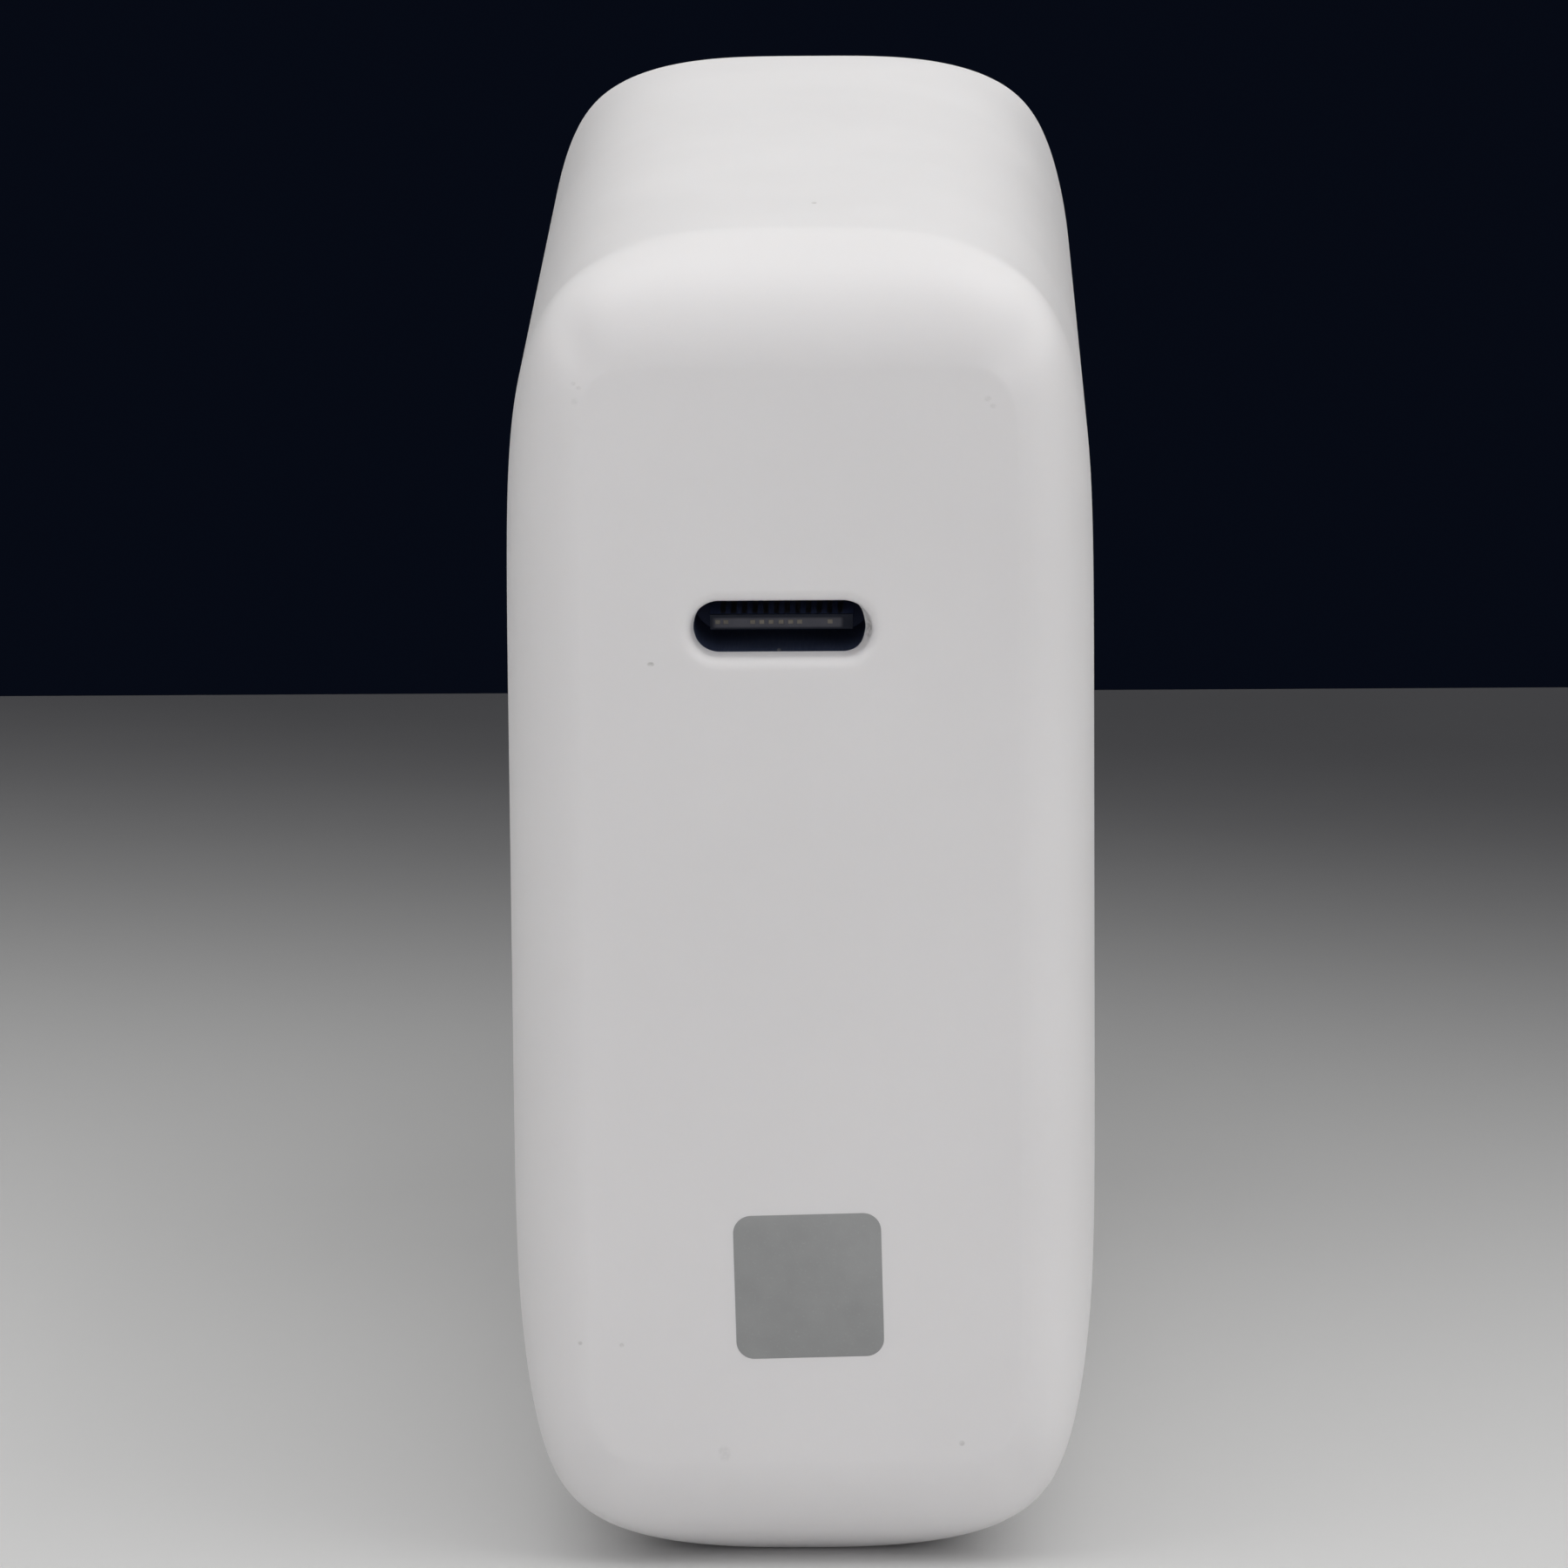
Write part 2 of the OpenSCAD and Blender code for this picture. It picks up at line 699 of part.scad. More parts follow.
module main_board() {
    color([0.1, 0.35, 0.2]) difference() {
        block([board_face, board_back], [board_front_y, board_back_y],
            [mid_z - board_h / 2, mid_z + board_h / 2]);
        for (part = MAIN_LEADS) on_main(part[0], part[1]) for (s = part[2])
            translate([s[0], s[1], -board_t - cut])
                cylinder(h = board_t + 2 * cut, r = part[3] + hole_gap, $fn = 24);
        for (i = [0:link_count - 1]) link_pin_hole(i);
    }
}

function link_pin_y(i) = link_y + (i - (link_count - 1) / 2) * link_pitch;

module link_pin_hole(i) {
    translate([board_face - cut, link_pin_y(i), port_board_low - link_w / 2]) rotate([0, 90, 0])
        cylinder(h = board_t + 2 * cut, r = link_hole_r, $fn = 24);
}

module port_board() {
    color([0.08, 0.3, 0.18]) difference() {
        block([port_board_left, board_face], [port_board_front, port_board_front + port_board_d],
            [port_board_low, port_board_top]);
        for (side = [-1, 1], y = tab_y) {
            x = port_x + side * (port_outer_w - port_sheet) / 2;
            half_x = port_sheet / 2 + tab_room;
            half_y = tab_l / 2 + tab_room;
            block([x - half_x, x + half_x], [y - half_y, y + half_y],
                [port_board_low - cut, port_board_top + cut]);
        }
        for (x = out_can_x, s = pair(out_can_lead))
            translate([x + s[1], out_can_y + s[0], port_board_low - cut])
                cylinder(h = port_board_t + 2 * cut, r = lead_r + hole_gap, $fn = 24);
        for (i = [0:link_count - 1])
            translate([board_face - link_w / 2, link_pin_y(i), port_board_low - cut])
                cylinder(h = port_board_t + 2 * cut, r = link_hole_r, $fn = 24);
    }
}

module link_header() {
    color([0.08, 0.08, 0.08]) difference() {
        block([board_face - link_w, board_face], [link_y - link_d / 2, link_y + link_d / 2],
            [port_board_low - link_w, port_board_low]);
        link_pins_at(0);
    }
}

module link_pins_at(grow) {
    half = link_pin / 2;
    for (i = [0:link_count - 1]) {
        y = [link_pin_y(i) - half, link_pin_y(i) + half];
        mid = [board_face - link_w / 2, port_board_low - link_w / 2];
        block([mid[0] - half, board_back + lead_stub], y, [mid[1] - half, mid[1] + half]);
        block([mid[0] - half, mid[0] + half], y, [mid[1] - half, port_board_top + lead_stub]);
    }
}

module link_pins() {
    color([0.8, 0.75, 0.55]) link_pins_at(0);
}

// Mains side parts

module fuse() {
    color([0.75, 0.72, 0.6]) on_main(fuse_y, fuse_z) {
        leads(turned(pair(fuse_lead)), up = fuse_d / 2);
        translate([0, 0, fuse_d / 2]) {
            rod_y(fuse_d / 2, -fuse_l / 2, fuse_l / 2);
            rod_y(lead_r, -fuse_lead / 2, fuse_lead / 2);
        }
    }
}

module choke_core() {
    color([0.25, 0.45, 0.3]) on_main(choke_y, choke_z) translate([0, 0, choke_x_up]) difference() {
        rod_y(choke_d / 2, -choke_w / 2, choke_w / 2);
        rod_y(choke_bore / 2, -choke_w / 2 - cut, choke_w / 2 + cut);
    }
}

module choke_turn() {
    thick = (choke_d - choke_bore) / 2 + 2 * choke_play;
    long = choke_w + 2 * choke_play;
    translate([(choke_d + choke_bore) / 4, 0, -choke_wire / 2]) linear_extrude(choke_wire)
        difference() {
            rounded(thick + 2 * choke_wire, long + 2 * choke_wire, choke_wire);
            square([thick, long], center = true);
        }
}

module choke_winding() {
    color(copper) on_main(choke_y, choke_z) {
        translate([0, 0, choke_x_up]) for (half = [0, 180], i = [0:choke_turns - 1])
            rotate([0, half + (i - (choke_turns - 1) / 2) * choke_step, 0]) choke_turn();
        leads(choke_spots, r = choke_wire / 2, up = choke_x_up - choke_d / 2 + choke_lead_in);
    }
}

module x_capacitor() {
    color([0.9, 0.75, 0.2]) on_main(film_y, film_z) {
        linear_extrude(film_h) rounded(film_w, film_t, film_r, $fn = 24);
        leads(pair(film_lead));
    }
}

module bridge_rectifier() {
    color(epoxy) on_main(bridge_y, bridge_z) {
        translate([-bridge_w / 2, -bridge_t / 2, bridge_lift])
            cube([bridge_w, bridge_t, bridge_h - bridge_lift]);
        leads(row(bridge_leads, bridge_lead_pitch), up = bridge_lift + seat);
    }
}

// Electrolytic can: a rubber bung, the crimped bead over it, a bevelled rim and a scored vent on top
module can(d, h) {
    vent_l = d * 0.6;
    difference() {
        union() {
            cylinder(h = can_bung, d = d - 2 * can_rim);
            translate([0, 0, can_bung]) cylinder(h = h - can_bung - can_rim, d = d);
            translate([0, 0, h - can_rim]) cylinder(h = can_rim, d1 = d, d2 = d - 2 * can_rim);
        }
        translate([0, 0, can_bung + 1]) difference() {
            cylinder(h = can_bead, d = d + cut);
            translate([0, 0, -cut]) cylinder(h = can_bead + 2 * cut, d = d - 2 * can_bead_in);
        }
        for (a = [0, 60, 120]) translate([0, 0, h]) rotate([0, 0, a])
            cube([vent_l, can_vent[0], can_vent[1]], center = true);
    }
}

module bulk_capacitors() {
    color([0.18, 0.2, 0.24]) for (i = [0:can_count - 1]) on_main(can_y, can_z(i)) {
        can(can_d, can_h);
        leads(pair(can_lead));
    }
}

module filter_inductor() {
    color([0.2, 0.2, 0.2]) on_main(drum_y, drum_z) {
        cylinder(h = drum_flange, d = drum_d);
        cylinder(h = drum_h, d = drum_d - 2 * drum_groove);
        translate([0, 0, drum_h - drum_flange]) cylinder(h = drum_flange, d = drum_d);
        leads(turned(pair(drum_lead)));
    }
}

module surge_disc() {
    color(blue_coat) on_main(surge_y, surge_z) {
        translate([0, 0, surge_d / 2 + disc_lift]) rod_y(surge_d / 2, -surge_t / 2, surge_t / 2);
        leads(pair(surge_lead), up = disc_lift + disc_lead_in);
    }
}

// Switch and its cooling plate

module heat_plate() {
    color(aluminium) difference() {
        union() {
            block([board_face - plate_h, board_face], [plate_y, plate_y + plate_l],
                [plate_z, plate_z + plate_t]);
            block([board_face - plate_h, board_face - plate_h + plate_t], [plate_y, plate_y + plate_l],
                [plate_z - plate_foot, plate_z + plate_t]);
        }
        translate([board_face - screw_x, transformer_y, plate_z - cut])
            cylinder(h = plate_t + 2 * cut, r = screw_r);
    }
}

module switch_transistor() {
    color(epoxy) {
        difference() {
            block([board_face - switch_h, board_face - switch_lift],
                [transformer_y - switch_w / 2, transformer_y + switch_w / 2], [switch_z, plate_z]);
            translate([board_face - screw_x, transformer_y, switch_z - cut])
                cylinder(h = switch_t + 2 * cut, r = screw_r);
        }
        on_main(transformer_y, switch_z + switch_t / 2)
            leads(turned(row(switch_leads, switch_lead)), up = switch_lift + seat);
    }
}

module plate_screw() {
    color([0.65, 0.65, 0.68]) translate([board_face - screw_x, transformer_y, 0]) {
        translate([0, 0, switch_z - screw_head_t]) difference() {
            union() {
                cylinder(h = screw_head_t, r = screw_head_r);
                cylinder(h = screw_head_t + switch_t + plate_t, r = screw_r);
            }
            for (a = [0, 90]) rotate([0, 0, a]) cube(screw_slot, center = true);
        }
    }
}

// Transformer

module core_part(from) {
    color([0.22, 0.22, 0.23]) on_main(transformer_y, transformer_z) translate([0, 0, standoff + from])
        difference() {
            translate([-core_w / 2, -core_d / 2, 0]) cube([core_w, core_d, core_half]);
            translate([0, 0, from > 0 ? -cut : core_plate]) difference() {
                cylinder(h = core_half - core_plate + cut, r = window_r);
                translate([0, 0, -cut]) cylinder(h = core_half + 3 * cut, r = leg_r);
            }
        }
}

module bobbin() {
    low = standoff + core_plate;
    high = standoff + core_h - core_plate;
    tube_r = leg_r + bobbin_gap + bobbin_wall;
    color([0.16, 0.16, 0.17]) on_main(transformer_y, transformer_z) {
        difference() {
            union() {
                translate([0, 0, low]) cylinder(h = bobbin_wall, r = flange_r);
                translate([0, 0, low]) cylinder(h = high - low, r = tube_r);
                translate([0, 0, high - bobbin_wall]) cylinder(h = bobbin_wall, r = flange_r);
            }
            translate([0, 0, low - cut]) cylinder(h = high - low + 2 * cut, r = leg_r + bobbin_gap);
        }
        for (side = [-1, 1]) difference() {
            translate([-rail_w / 2, side * core_rail_y - rail_d / 2, 0])
                cube([rail_w, rail_d, low + bobbin_wall]);
            for (x = [-1, 1]) translate([x * rail_w / 2, side * core_rail_y, low / 2 + bobbin_notch_up])
                cube([2 * bobbin_notch, rail_d + cut, low], center = true);
        }
        leads(bobbin_spots);
    }
}

module winding() {
    low = standoff + core_plate + bobbin_wall;
    color(copper) on_main(transformer_y, transformer_z) translate([0, 0, low])
        difference() {
            cylinder(h = core_h - 2 * core_plate - 2 * bobbin_wall, r = coil_r);
            translate([0, 0, -cut])
                cylinder(h = core_h, r = leg_r + bobbin_gap + bobbin_wall);
        }
}

module winding_tape() {
    low = standoff + core_plate + bobbin_wall;
    color([0.85, 0.7, 0.15]) on_main(transformer_y, transformer_z) translate([0, 0, low])
        difference() {
            cylinder(h = core_h - 2 * core_plate - 2 * bobbin_wall, r = coil_r + tape_t);
            translate([0, 0, -cut]) cylinder(h = core_h, r = coil_r);
        }
}

module thermal_pad() {
    color([0.55, 0.6, 0.7]) on_main(transformer_y, transformer_z)
        translate([-core_w / 2, -core_d / 2, standoff + core_h]) cube([core_w, core_d, pad_t]);
}

// Barrier and output side parts

module y_capacitor() {
    color(blue_coat) on_main(safety_y, safety_z) {
        translate([-safety_t / 2, 0, safety_d / 2 + disc_lift]) rotate([0, 90, 0])
            cylinder(h = safety_t, d = safety_d);
        leads(turned(pair(safety_lead)), up = disc_lift + disc_lead_in);
    }
}

// A moulded chip with bent legs down its two long sides
module chip(size) {
    w = size[0];
    l = size[1];
    reach = size[5];
    leg_w = size[4] * leg_share;
    translate([-w / 2, -l / 2, chip_lift]) cube([w, l, size[2]]);
    for (side = [-1, 1], i = [0:size[3] - 1]) {
        y = (i - (size[3] - 1) / 2) * size[4];
        translate([side * (w / 2 + reach / 2), y, (chip_lift + leg_t) / 2])
            cube([reach + leg_t, leg_w, chip_lift + leg_t], center = true);
    }
}

module optocoupler() {
    color(epoxy) on_main(opto_y, opto_z) chip(opto_size);
}

module controller_chip() {
    color(epoxy) on_main(chip_y, chip_z) chip(controller_size);
}

module rectifier_chip() {
    color(epoxy) on_main(rectifier_y, rectifier_z) chip(rectifier_size);
}

module power_delivery_chip() {
    color(epoxy) translate([port_x - delivery_size[0] / 2, delivery_y, port_board_top])
        chip(delivery_size);
}

// Chip capacitors with a metal cap at each end
module chip_capacitors() {
    half_l = passive_l / 2;
    half_w = passive_w / 2;
    for (i = [0:passive_count[0] - 1], j = [0:passive_count[1] - 1]) {
        y = transformer_y + (i - (passive_count[0] - 1) / 2) * passive_pitch[0];
        z = transformer_z + (j - (passive_count[1] - 1) / 2) * passive_pitch[1];
        color([0.62, 0.5, 0.36]) translate([board_back, y, z]) {
            block([passive_skin, passive_h], [-half_w, half_w], [-half_l, half_l]);
            for (side = [0, 1]) mirror([0, 0, side])
                block([0, passive_h + passive_skin], [-half_w - passive_skin, half_w + passive_skin],
                    [half_l - passive_cap, half_l + passive_skin]);
        }
    }
}

module output_capacitors() {
    color(aluminium) for (x = out_can_x) translate([x, out_can_y, port_board_top]) {
        can(out_can_d, out_can_h);
        for (s = pair(out_can_lead)) translate([s[1], s[0], -port_board_t - lead_stub])
            cylinder(h = port_board_t + lead_stub + seat, r = lead_r, $fn = 24);
    }
}

module insulation_sheet() {
    color([0.15, 0.15, 0.16], 0.9) block([sheet_out, sheet_in], [sheet_front, sheet_back],
        [mid_z - sheet_half, mid_z + sheet_half]);
}

housing_shell();
plug_cover();
pin(1);  // pin_upper
pin(-1);  // pin_lower
sleeve(1);  // sleeve_upper
sleeve(-1);  // sleeve_lower
contact_bracket(1);  // contact_upper
contact_bracket(-1);  // contact_lower
usb_shell();
usb_tongue();
usb_contacts();
usb_mid_plate();
main_board();
port_board();
link_header();
link_pins();
fuse();
choke_core();
choke_winding();
x_capacitor();
bridge_rectifier();
bulk_capacitors();
filter_inductor();
switch_transistor();
heat_plate();
plate_screw();
core_part(0);  // transformer_core_lower
core_part(core_half);  // transformer_core_upper
bobbin();
winding();
winding_tape();
y_capacitor();
optocoupler();
controller_chip();
rectifier_chip();
power_delivery_chip();
output_capacitors();
surge_disc();
thermal_pad();
insulation_sheet();
chip_capacitors();
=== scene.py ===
"""A white mains charger with one USB-C socket, standing on its narrow side.

X is the charger's width, Y runs from the socket face back to the plug, Z is up. Sizes here are in
millimetres, in the frame's own axes, and become metres when a mesh is made.
"""
import json
import math

import bmesh
import bpy
import numpy as np
from mathutils import Matrix, Vector
from mathutils.geometry import tessellate_polygon


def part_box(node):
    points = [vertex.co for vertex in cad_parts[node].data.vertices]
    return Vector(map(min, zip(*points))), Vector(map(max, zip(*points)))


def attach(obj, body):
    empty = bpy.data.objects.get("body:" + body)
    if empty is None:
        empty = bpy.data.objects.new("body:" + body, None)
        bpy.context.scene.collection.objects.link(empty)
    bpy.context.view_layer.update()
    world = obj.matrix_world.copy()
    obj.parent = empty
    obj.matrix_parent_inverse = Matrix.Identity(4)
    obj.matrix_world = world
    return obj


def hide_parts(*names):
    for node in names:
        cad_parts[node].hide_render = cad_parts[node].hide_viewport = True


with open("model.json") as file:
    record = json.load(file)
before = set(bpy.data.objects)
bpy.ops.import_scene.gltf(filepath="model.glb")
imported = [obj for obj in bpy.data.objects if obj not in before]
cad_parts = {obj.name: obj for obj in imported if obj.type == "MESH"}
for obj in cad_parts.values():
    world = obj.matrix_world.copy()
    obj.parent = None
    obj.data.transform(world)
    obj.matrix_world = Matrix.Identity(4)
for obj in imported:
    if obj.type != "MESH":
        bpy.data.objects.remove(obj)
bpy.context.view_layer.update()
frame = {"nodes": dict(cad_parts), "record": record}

MM = 0.001
QUARTER = math.pi / 2


def node_box(node):
    """Lowest and highest corner of a CAD node, in millimetres."""
    return [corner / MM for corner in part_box(node)]


# Body, its overall size read off the frame
SHELL_LOW, SHELL_HIGH = node_box("housing_shell")
HALF_W = SHELL_HIGH.x
TOP_Z = SHELL_HIGH.z
FRONT_Y = SHELL_LOW.y
BACK_Y = -FRONT_Y
SEAM_Y = SHELL_HIGH.y
WALL = 2.2
FACE_WALL = 2.4
CAVITY_FRONT = FRONT_Y + FACE_WALL
COVER_INNER = BACK_Y - FACE_WALL

# Outline of the body: the flat foot's width, and how square the outline is sideways and upwards
FOOT_W = 10.0
OUTLINE_POWER_W = 3.36
OUTLINE_POWER_H = 7.34

# The outer skin's own, rounder outline below the middle
LOW_FOOT_W = 7.0
LOW_POWER_W = 2.7
LOW_POWER_H = 6.8


def foot_share(foot_w, power_w, power_h):
    """Height at which a squared ellipse is as wide as its foot, in parts of its half height."""
    return (1 - (foot_w / 2 / HALF_W) ** power_w) ** (1 / power_h)


HALF_H = TOP_Z / (1 + foot_share(FOOT_W, OUTLINE_POWER_W, OUTLINE_POWER_H))
MID_Z = TOP_Z - HALF_H
LOW_HALF_H = MID_Z / foot_share(LOW_FOOT_W, LOW_POWER_W, LOW_POWER_H)
BODY_MIDDLE = np.array([0, MID_Z])

# Each half of the outline: its half height and its two powers
UPPER_HALF = (HALF_H, OUTLINE_POWER_W, OUTLINE_POWER_H)
LOWER_HALF = (LOW_HALF_H, LOW_POWER_W, LOW_POWER_H)

# Rounded edges round the two ends: their reach along X, Z and Y, and how square they end
EDGE_W = 3.6
EDGE_H = 5.7
EDGE_D = 5.5
FACE_POWER_W = 12.0
FACE_POWER_H = 20.0
FRONT_RING_Y = FRONT_Y + EDGE_D
BACK_RING_Y = BACK_Y - EDGE_D

# Faint crease round the port face: the rounding stops short of a quarter turn, most in the corners,
# and one more ring, close to the face, keeps it narrow
EDGE_END = math.radians(88)
CORNER_END = math.radians(70)
CREASE_RING = math.radians(89)

# Seam between shell and cover: its place on the rear edge, and how far each lip starts from it
SEAM_ANGLE = math.radians(24)
SEAM_GAP = 0.16
SEAM_ROUND = 0.14
SEAM_REACH = (SEAM_GAP / 2 + SEAM_ROUND) / EDGE_D
SHELL_END = SEAM_ANGLE - SEAM_REACH
COVER_START = SEAM_ANGLE + SEAM_REACH

# Rear cover and the plug's nose
LIP_L = 4.0
LIP_T = 1.2
LIP_GAP = 0.1
NOSE_H = 35.3
NOSE_W = 13.7
NOSE_BEVEL = 5.35
NOSE_EDGE = 0.8
NOSE_RIM = 0.25
NOSE_WALL = 2.0
NOSE_POWER = 20.0
NOSE_FOOT_ROUND = 0.7
NOSE_FACE = node_box("plug_cover")[1].y

# Plug pins, upper and lower
PIN_D = 4.0
PIN_Z = {
    "upper": node_box("pin_upper")[1].z - PIN_D / 2,
    "lower": node_box("pin_lower")[0].z + PIN_D / 2,
}
PIN_TIP = node_box("pin_upper")[1].y
PIN_TIP_R = 1.4
PIN_TIP_RIM = 0.15
PIN_CHAMFER = 0.12
PIN_ROOT_D = 3.4
COLLAR_D = 5.2
COLLAR_START = BACK_Y + 4.0
COLLAR_L = 1.0
COLLAR_CHAMFER = 0.1

# Sleeves of the pins, and the small step from a sleeve to the bare metal
SLEEVE_D = 3.6
SLEEVE_T = 0.4
SLEEVE_START, SLEEVE_END = (corner.y for corner in node_box("sleeve_upper"))
SLEEVE_SOFT = 0.12
SLEEVE_STEP = 0.02

# Pins' holes in the nose: clearance, and the soft mouth as (how much wider, how deep)
PIN_HOLE_GAP = 0.05
PIN_HOLE_MOUTH = ((0.25, 0.0), (0.08, 0.07), (0.0, 0.25))

# Socket and its metal shell
SOCKET_LOW, SOCKET_HIGH = node_box("usb_shell")
PORT_W = 8.34
PORT_H = 2.56
PORT_SHEET = 0.3
PORT_X = (SOCKET_LOW.x + SOCKET_HIGH.x) / 2
PORT_Z = SOCKET_HIGH.z - PORT_H / 2 - PORT_SHEET
PORT_MIDDLE = np.array([PORT_X, PORT_Z])
PORT_MOUTH = SOCKET_LOW.y
PORT_BACK = SOCKET_HIGH.y
SOCKET_SOFT = 0.1
LEG_Y = (PORT_MOUTH + 2.6, PORT_BACK - 1.2)
LEG_W = 1.0
LEG_DROP = 1.0

# Hole in the housing: clearance, lip, round mouth, and the pocket behind it that takes the socket
PORT_GAP = 0.05
PORT_LIP = 1.0
PORT_ROUND_W = 0.58
PORT_ROUND_D = 0.55
POCKET_GAP = 0.15
POCKET_GROW = PORT_SHEET - PORT_GAP + POCKET_GAP

# Draft of the hole at its right end, and the shares of it at the left end and the lower side
PORT_DRAFT = 0.28
PORT_DRAFT_POWER = 7
PORT_DRAFT_LEFT = 0.4
PORT_DRAFT_LOW = 0.45

# Contact ends on the tongue's tip
TONGUE_TIP = node_box("usb_tongue")[0].y
CONTACT_END_X = (-3.84, -3.46, -2.2, -1.78, -1.34, -0.87, -0.42, 0.0, 1.43)
CONTACT_END_W = 0.24
CONTACT_END_H = 0.2
CONTACT_END_D = 0.24
CONTACT_END_PROUD = 0.015

# Band of painted light on the tongue's tip, with soft borders, and the depths over which the tip's
# painted shade turns paler
TIP_BAND_X = -1.03
TIP_BAND_Z = PORT_Z - 0.04
TIP_BAND_W = 6.0
TIP_BAND_T = 0.44
TIP_BAND_SOFT_W = 0.12
TIP_BAND_SOFT_T = 0.07
TIP_FADE = (0.1, 0.35)

# Printed patch on the port face
PATCH_MIDDLE = np.array([0.2, 14.16])
PATCH_SIZE = 7.0
PATCH_CORNER = 0.85
PATCH_TURN = math.radians(1.2)
PATCH_PROUD = 0.012
PATCH_SOFT = 0.015

# Points of the first, close outlines: in a quarter of the body, with the power that crowds them at
# its ends, round the nose, and along a slot's end and side
BODY_POINTS = 2500
CROWDING = 4
NOSE_POINTS = 8000
SLOT_END_POINTS = 400
SLOT_SIDE_POINTS = 200

# Points round each ring of a mesh, quarter by quarter, and round a turned piece
SHELL_QUARTERS = (110, 110, 150, 150)
COVER_QUARTERS = (120, 120, 120, 120)
SOCKET_QUARTERS = (40, 40, 40, 40)
TURNED_POINTS = 96

# Steps along each rounded stretch of a mesh
EDGE_STEPS = 24
REAR_STEPS = 7
SEAM_STEPS = 3
INNER_STEPS = 8
MOUTH_STEPS = 9
NOSE_FOOT_STEPS = 6
NOSE_EDGE_STEPS = 8
PIN_TIP_STEPS = 14
PATCH_CORNER_STEPS = 12

# Where rings lie across a flat stretch, in parts of it
FACE_SHARES = (0.012, 0.05, 0.15, 0.35, 0.6, 0.8, 0.93, 0.985)
COVER_SHARES = (0.03, 0.3, 0.7, 0.96)
INNER_SHARES = (0.2, 0.6, 0.9)

# How far beside a rounded stretch a ring lies, to keep the shading of the straight one even
SIDE_HOLD = 0.4
TIP_HOLD = 0.3

# A rounding made of two chamfers passes this share of its radius from the corner
CORNER_SHARE = 0.3

# Faces that meet at a wider angle than this show a crisp edge
SHARP_ANGLE = math.radians(35)


# Outlines, as arrays of (x, z) points


def mix(a, b, t):
    return a + (b - a) * t


def dense_outline(half_w, high, low):
    """A squared ellipse about the body's middle, cut flat at the foot, with many close points.

    High and low are the half height and the two powers above and below the middle. The points
    crowd at the ends of each quarter, where such an outline runs fastest.
    """
    u = np.linspace(0, 1, BODY_POINTS, endpoint=False)
    turn = QUARTER * u**CROWDING / (u**CROWDING + (1 - u) ** CROWDING)
    rise, fall = np.cos(turn), np.sin(turn)
    x, z = [], []
    for (half_h, power_w, power_h), sign in ((high, 1), (low, -1)):
        x += [sign * half_w * rise ** (2 / power_w), -sign * half_w * fall ** (2 / power_w)]
        z += [sign * half_h * fall ** (2 / power_h), sign * half_h * rise ** (2 / power_h)]
    return np.stack([np.concatenate(x), MID_Z + np.maximum(np.concatenate(z), -MID_Z)], 1)


def dense_slot(width, height):
    """A slot with round ends about the socket's middle."""
    r = height / 2
    reach = width / 2 - r
    turn = np.linspace(-QUARTER, QUARTER, SLOT_END_POINTS)
    right = np.stack([reach + r * np.cos(turn), r * np.sin(turn)], 1)
    straight = np.linspace(reach, -reach, SLOT_SIDE_POINTS)[1:-1]
    top = np.stack([straight, np.full_like(straight, r)], 1)
    return np.concatenate([right, top, -right, -top]) + PORT_MIDDLE


def spread(outline, centre, quarters):
    """Points spaced evenly along an outline, between the places level with and above its centre."""
    away = outline - centre
    angle = np.unwrap(np.arctan2(away[:, 1], away[:, 0]))
    turns = np.arange(-1, 3)[:, None] * 2 * math.pi
    angle = (angle + turns).ravel()
    loop = np.concatenate([outline] * len(turns))
    steps = np.linalg.norm(np.diff(loop, axis=0), axis=1)
    length = np.concatenate([[0], np.cumsum(steps)])
    spots_and_shade = np.interp(np.arange(5) * QUARTER, angle, length)
    along = np.concatenate([
        np.linspace(spots_and_shade[k], spots_and_shade[k + 1], count, endpoint=False)
        for k, count in enumerate(quarters)
    ])
    return np.stack([np.interp(along, length, loop[:, k]) for k in (0, 1)], 1)


def edge_outline(inset, angle, inside=False):
    """Outline on a rounded edge: angle is 0 at the side wall and a quarter turn at the flat face.

    The outer skin is rounder below the middle than the inner one.
    """
    s = 1 - math.cos(angle)
    halves = [
        (half_h - mix(inset, EDGE_H, s), mix(power_w, FACE_POWER_W, s), mix(power_h, FACE_POWER_H, s))
        for half_h, power_w, power_h in (UPPER_HALF, UPPER_HALF if inside else LOWER_HALF)
    ]
    return dense_outline(HALF_W - mix(inset, EDGE_W, s), *halves)


def edge_depth(outline, angle):
    """Depth of the front edge along a ring, in parts of its full depth.

    The edge meets the flat face at a slight crease, plainest where the outline turns a corner.
    """
    run = np.roll(outline, -1, axis=0) - np.roll(outline, 1, axis=0)
    run /= np.linalg.norm(run, axis=1)[:, None]
    corner = 4 * run[:, 0] ** 2 * run[:, 1] ** 2
    end = mix(EDGE_END, CORNER_END, corner)
    s = 1 - math.cos(angle)
    return np.sin(np.arccos(1 - s * (1 - np.cos(end)))) / np.sin(end)


def rear_edge_y(angle):
    """Place along Y of a ring on the rounded edge at the plug side."""
    return BACK_RING_Y + EDGE_D * math.sin(angle)


def nose_outline(grow):
    """The plug's nose: a flattened hexagon with soft corners."""
    w, h = NOSE_W / 2 + grow, NOSE_H / 2 + grow
    slant = (NOSE_W / 2 + NOSE_H / 2 - NOSE_BEVEL) * math.sqrt(0.5) + grow
    turn = np.linspace(0, 2 * math.pi, NOSE_POINTS, endpoint=False)
    x, z = np.cos(turn), np.sin(turn)
    reach = (
        np.abs(x / w) ** NOSE_POWER
        + np.abs(z / h) ** NOSE_POWER
        + ((np.abs(x) + np.abs(z)) * math.sqrt(0.5) / slant) ** NOSE_POWER
    ) ** (-1 / NOSE_POWER)
    return np.stack([x * reach, MID_Z + z * reach], 1)


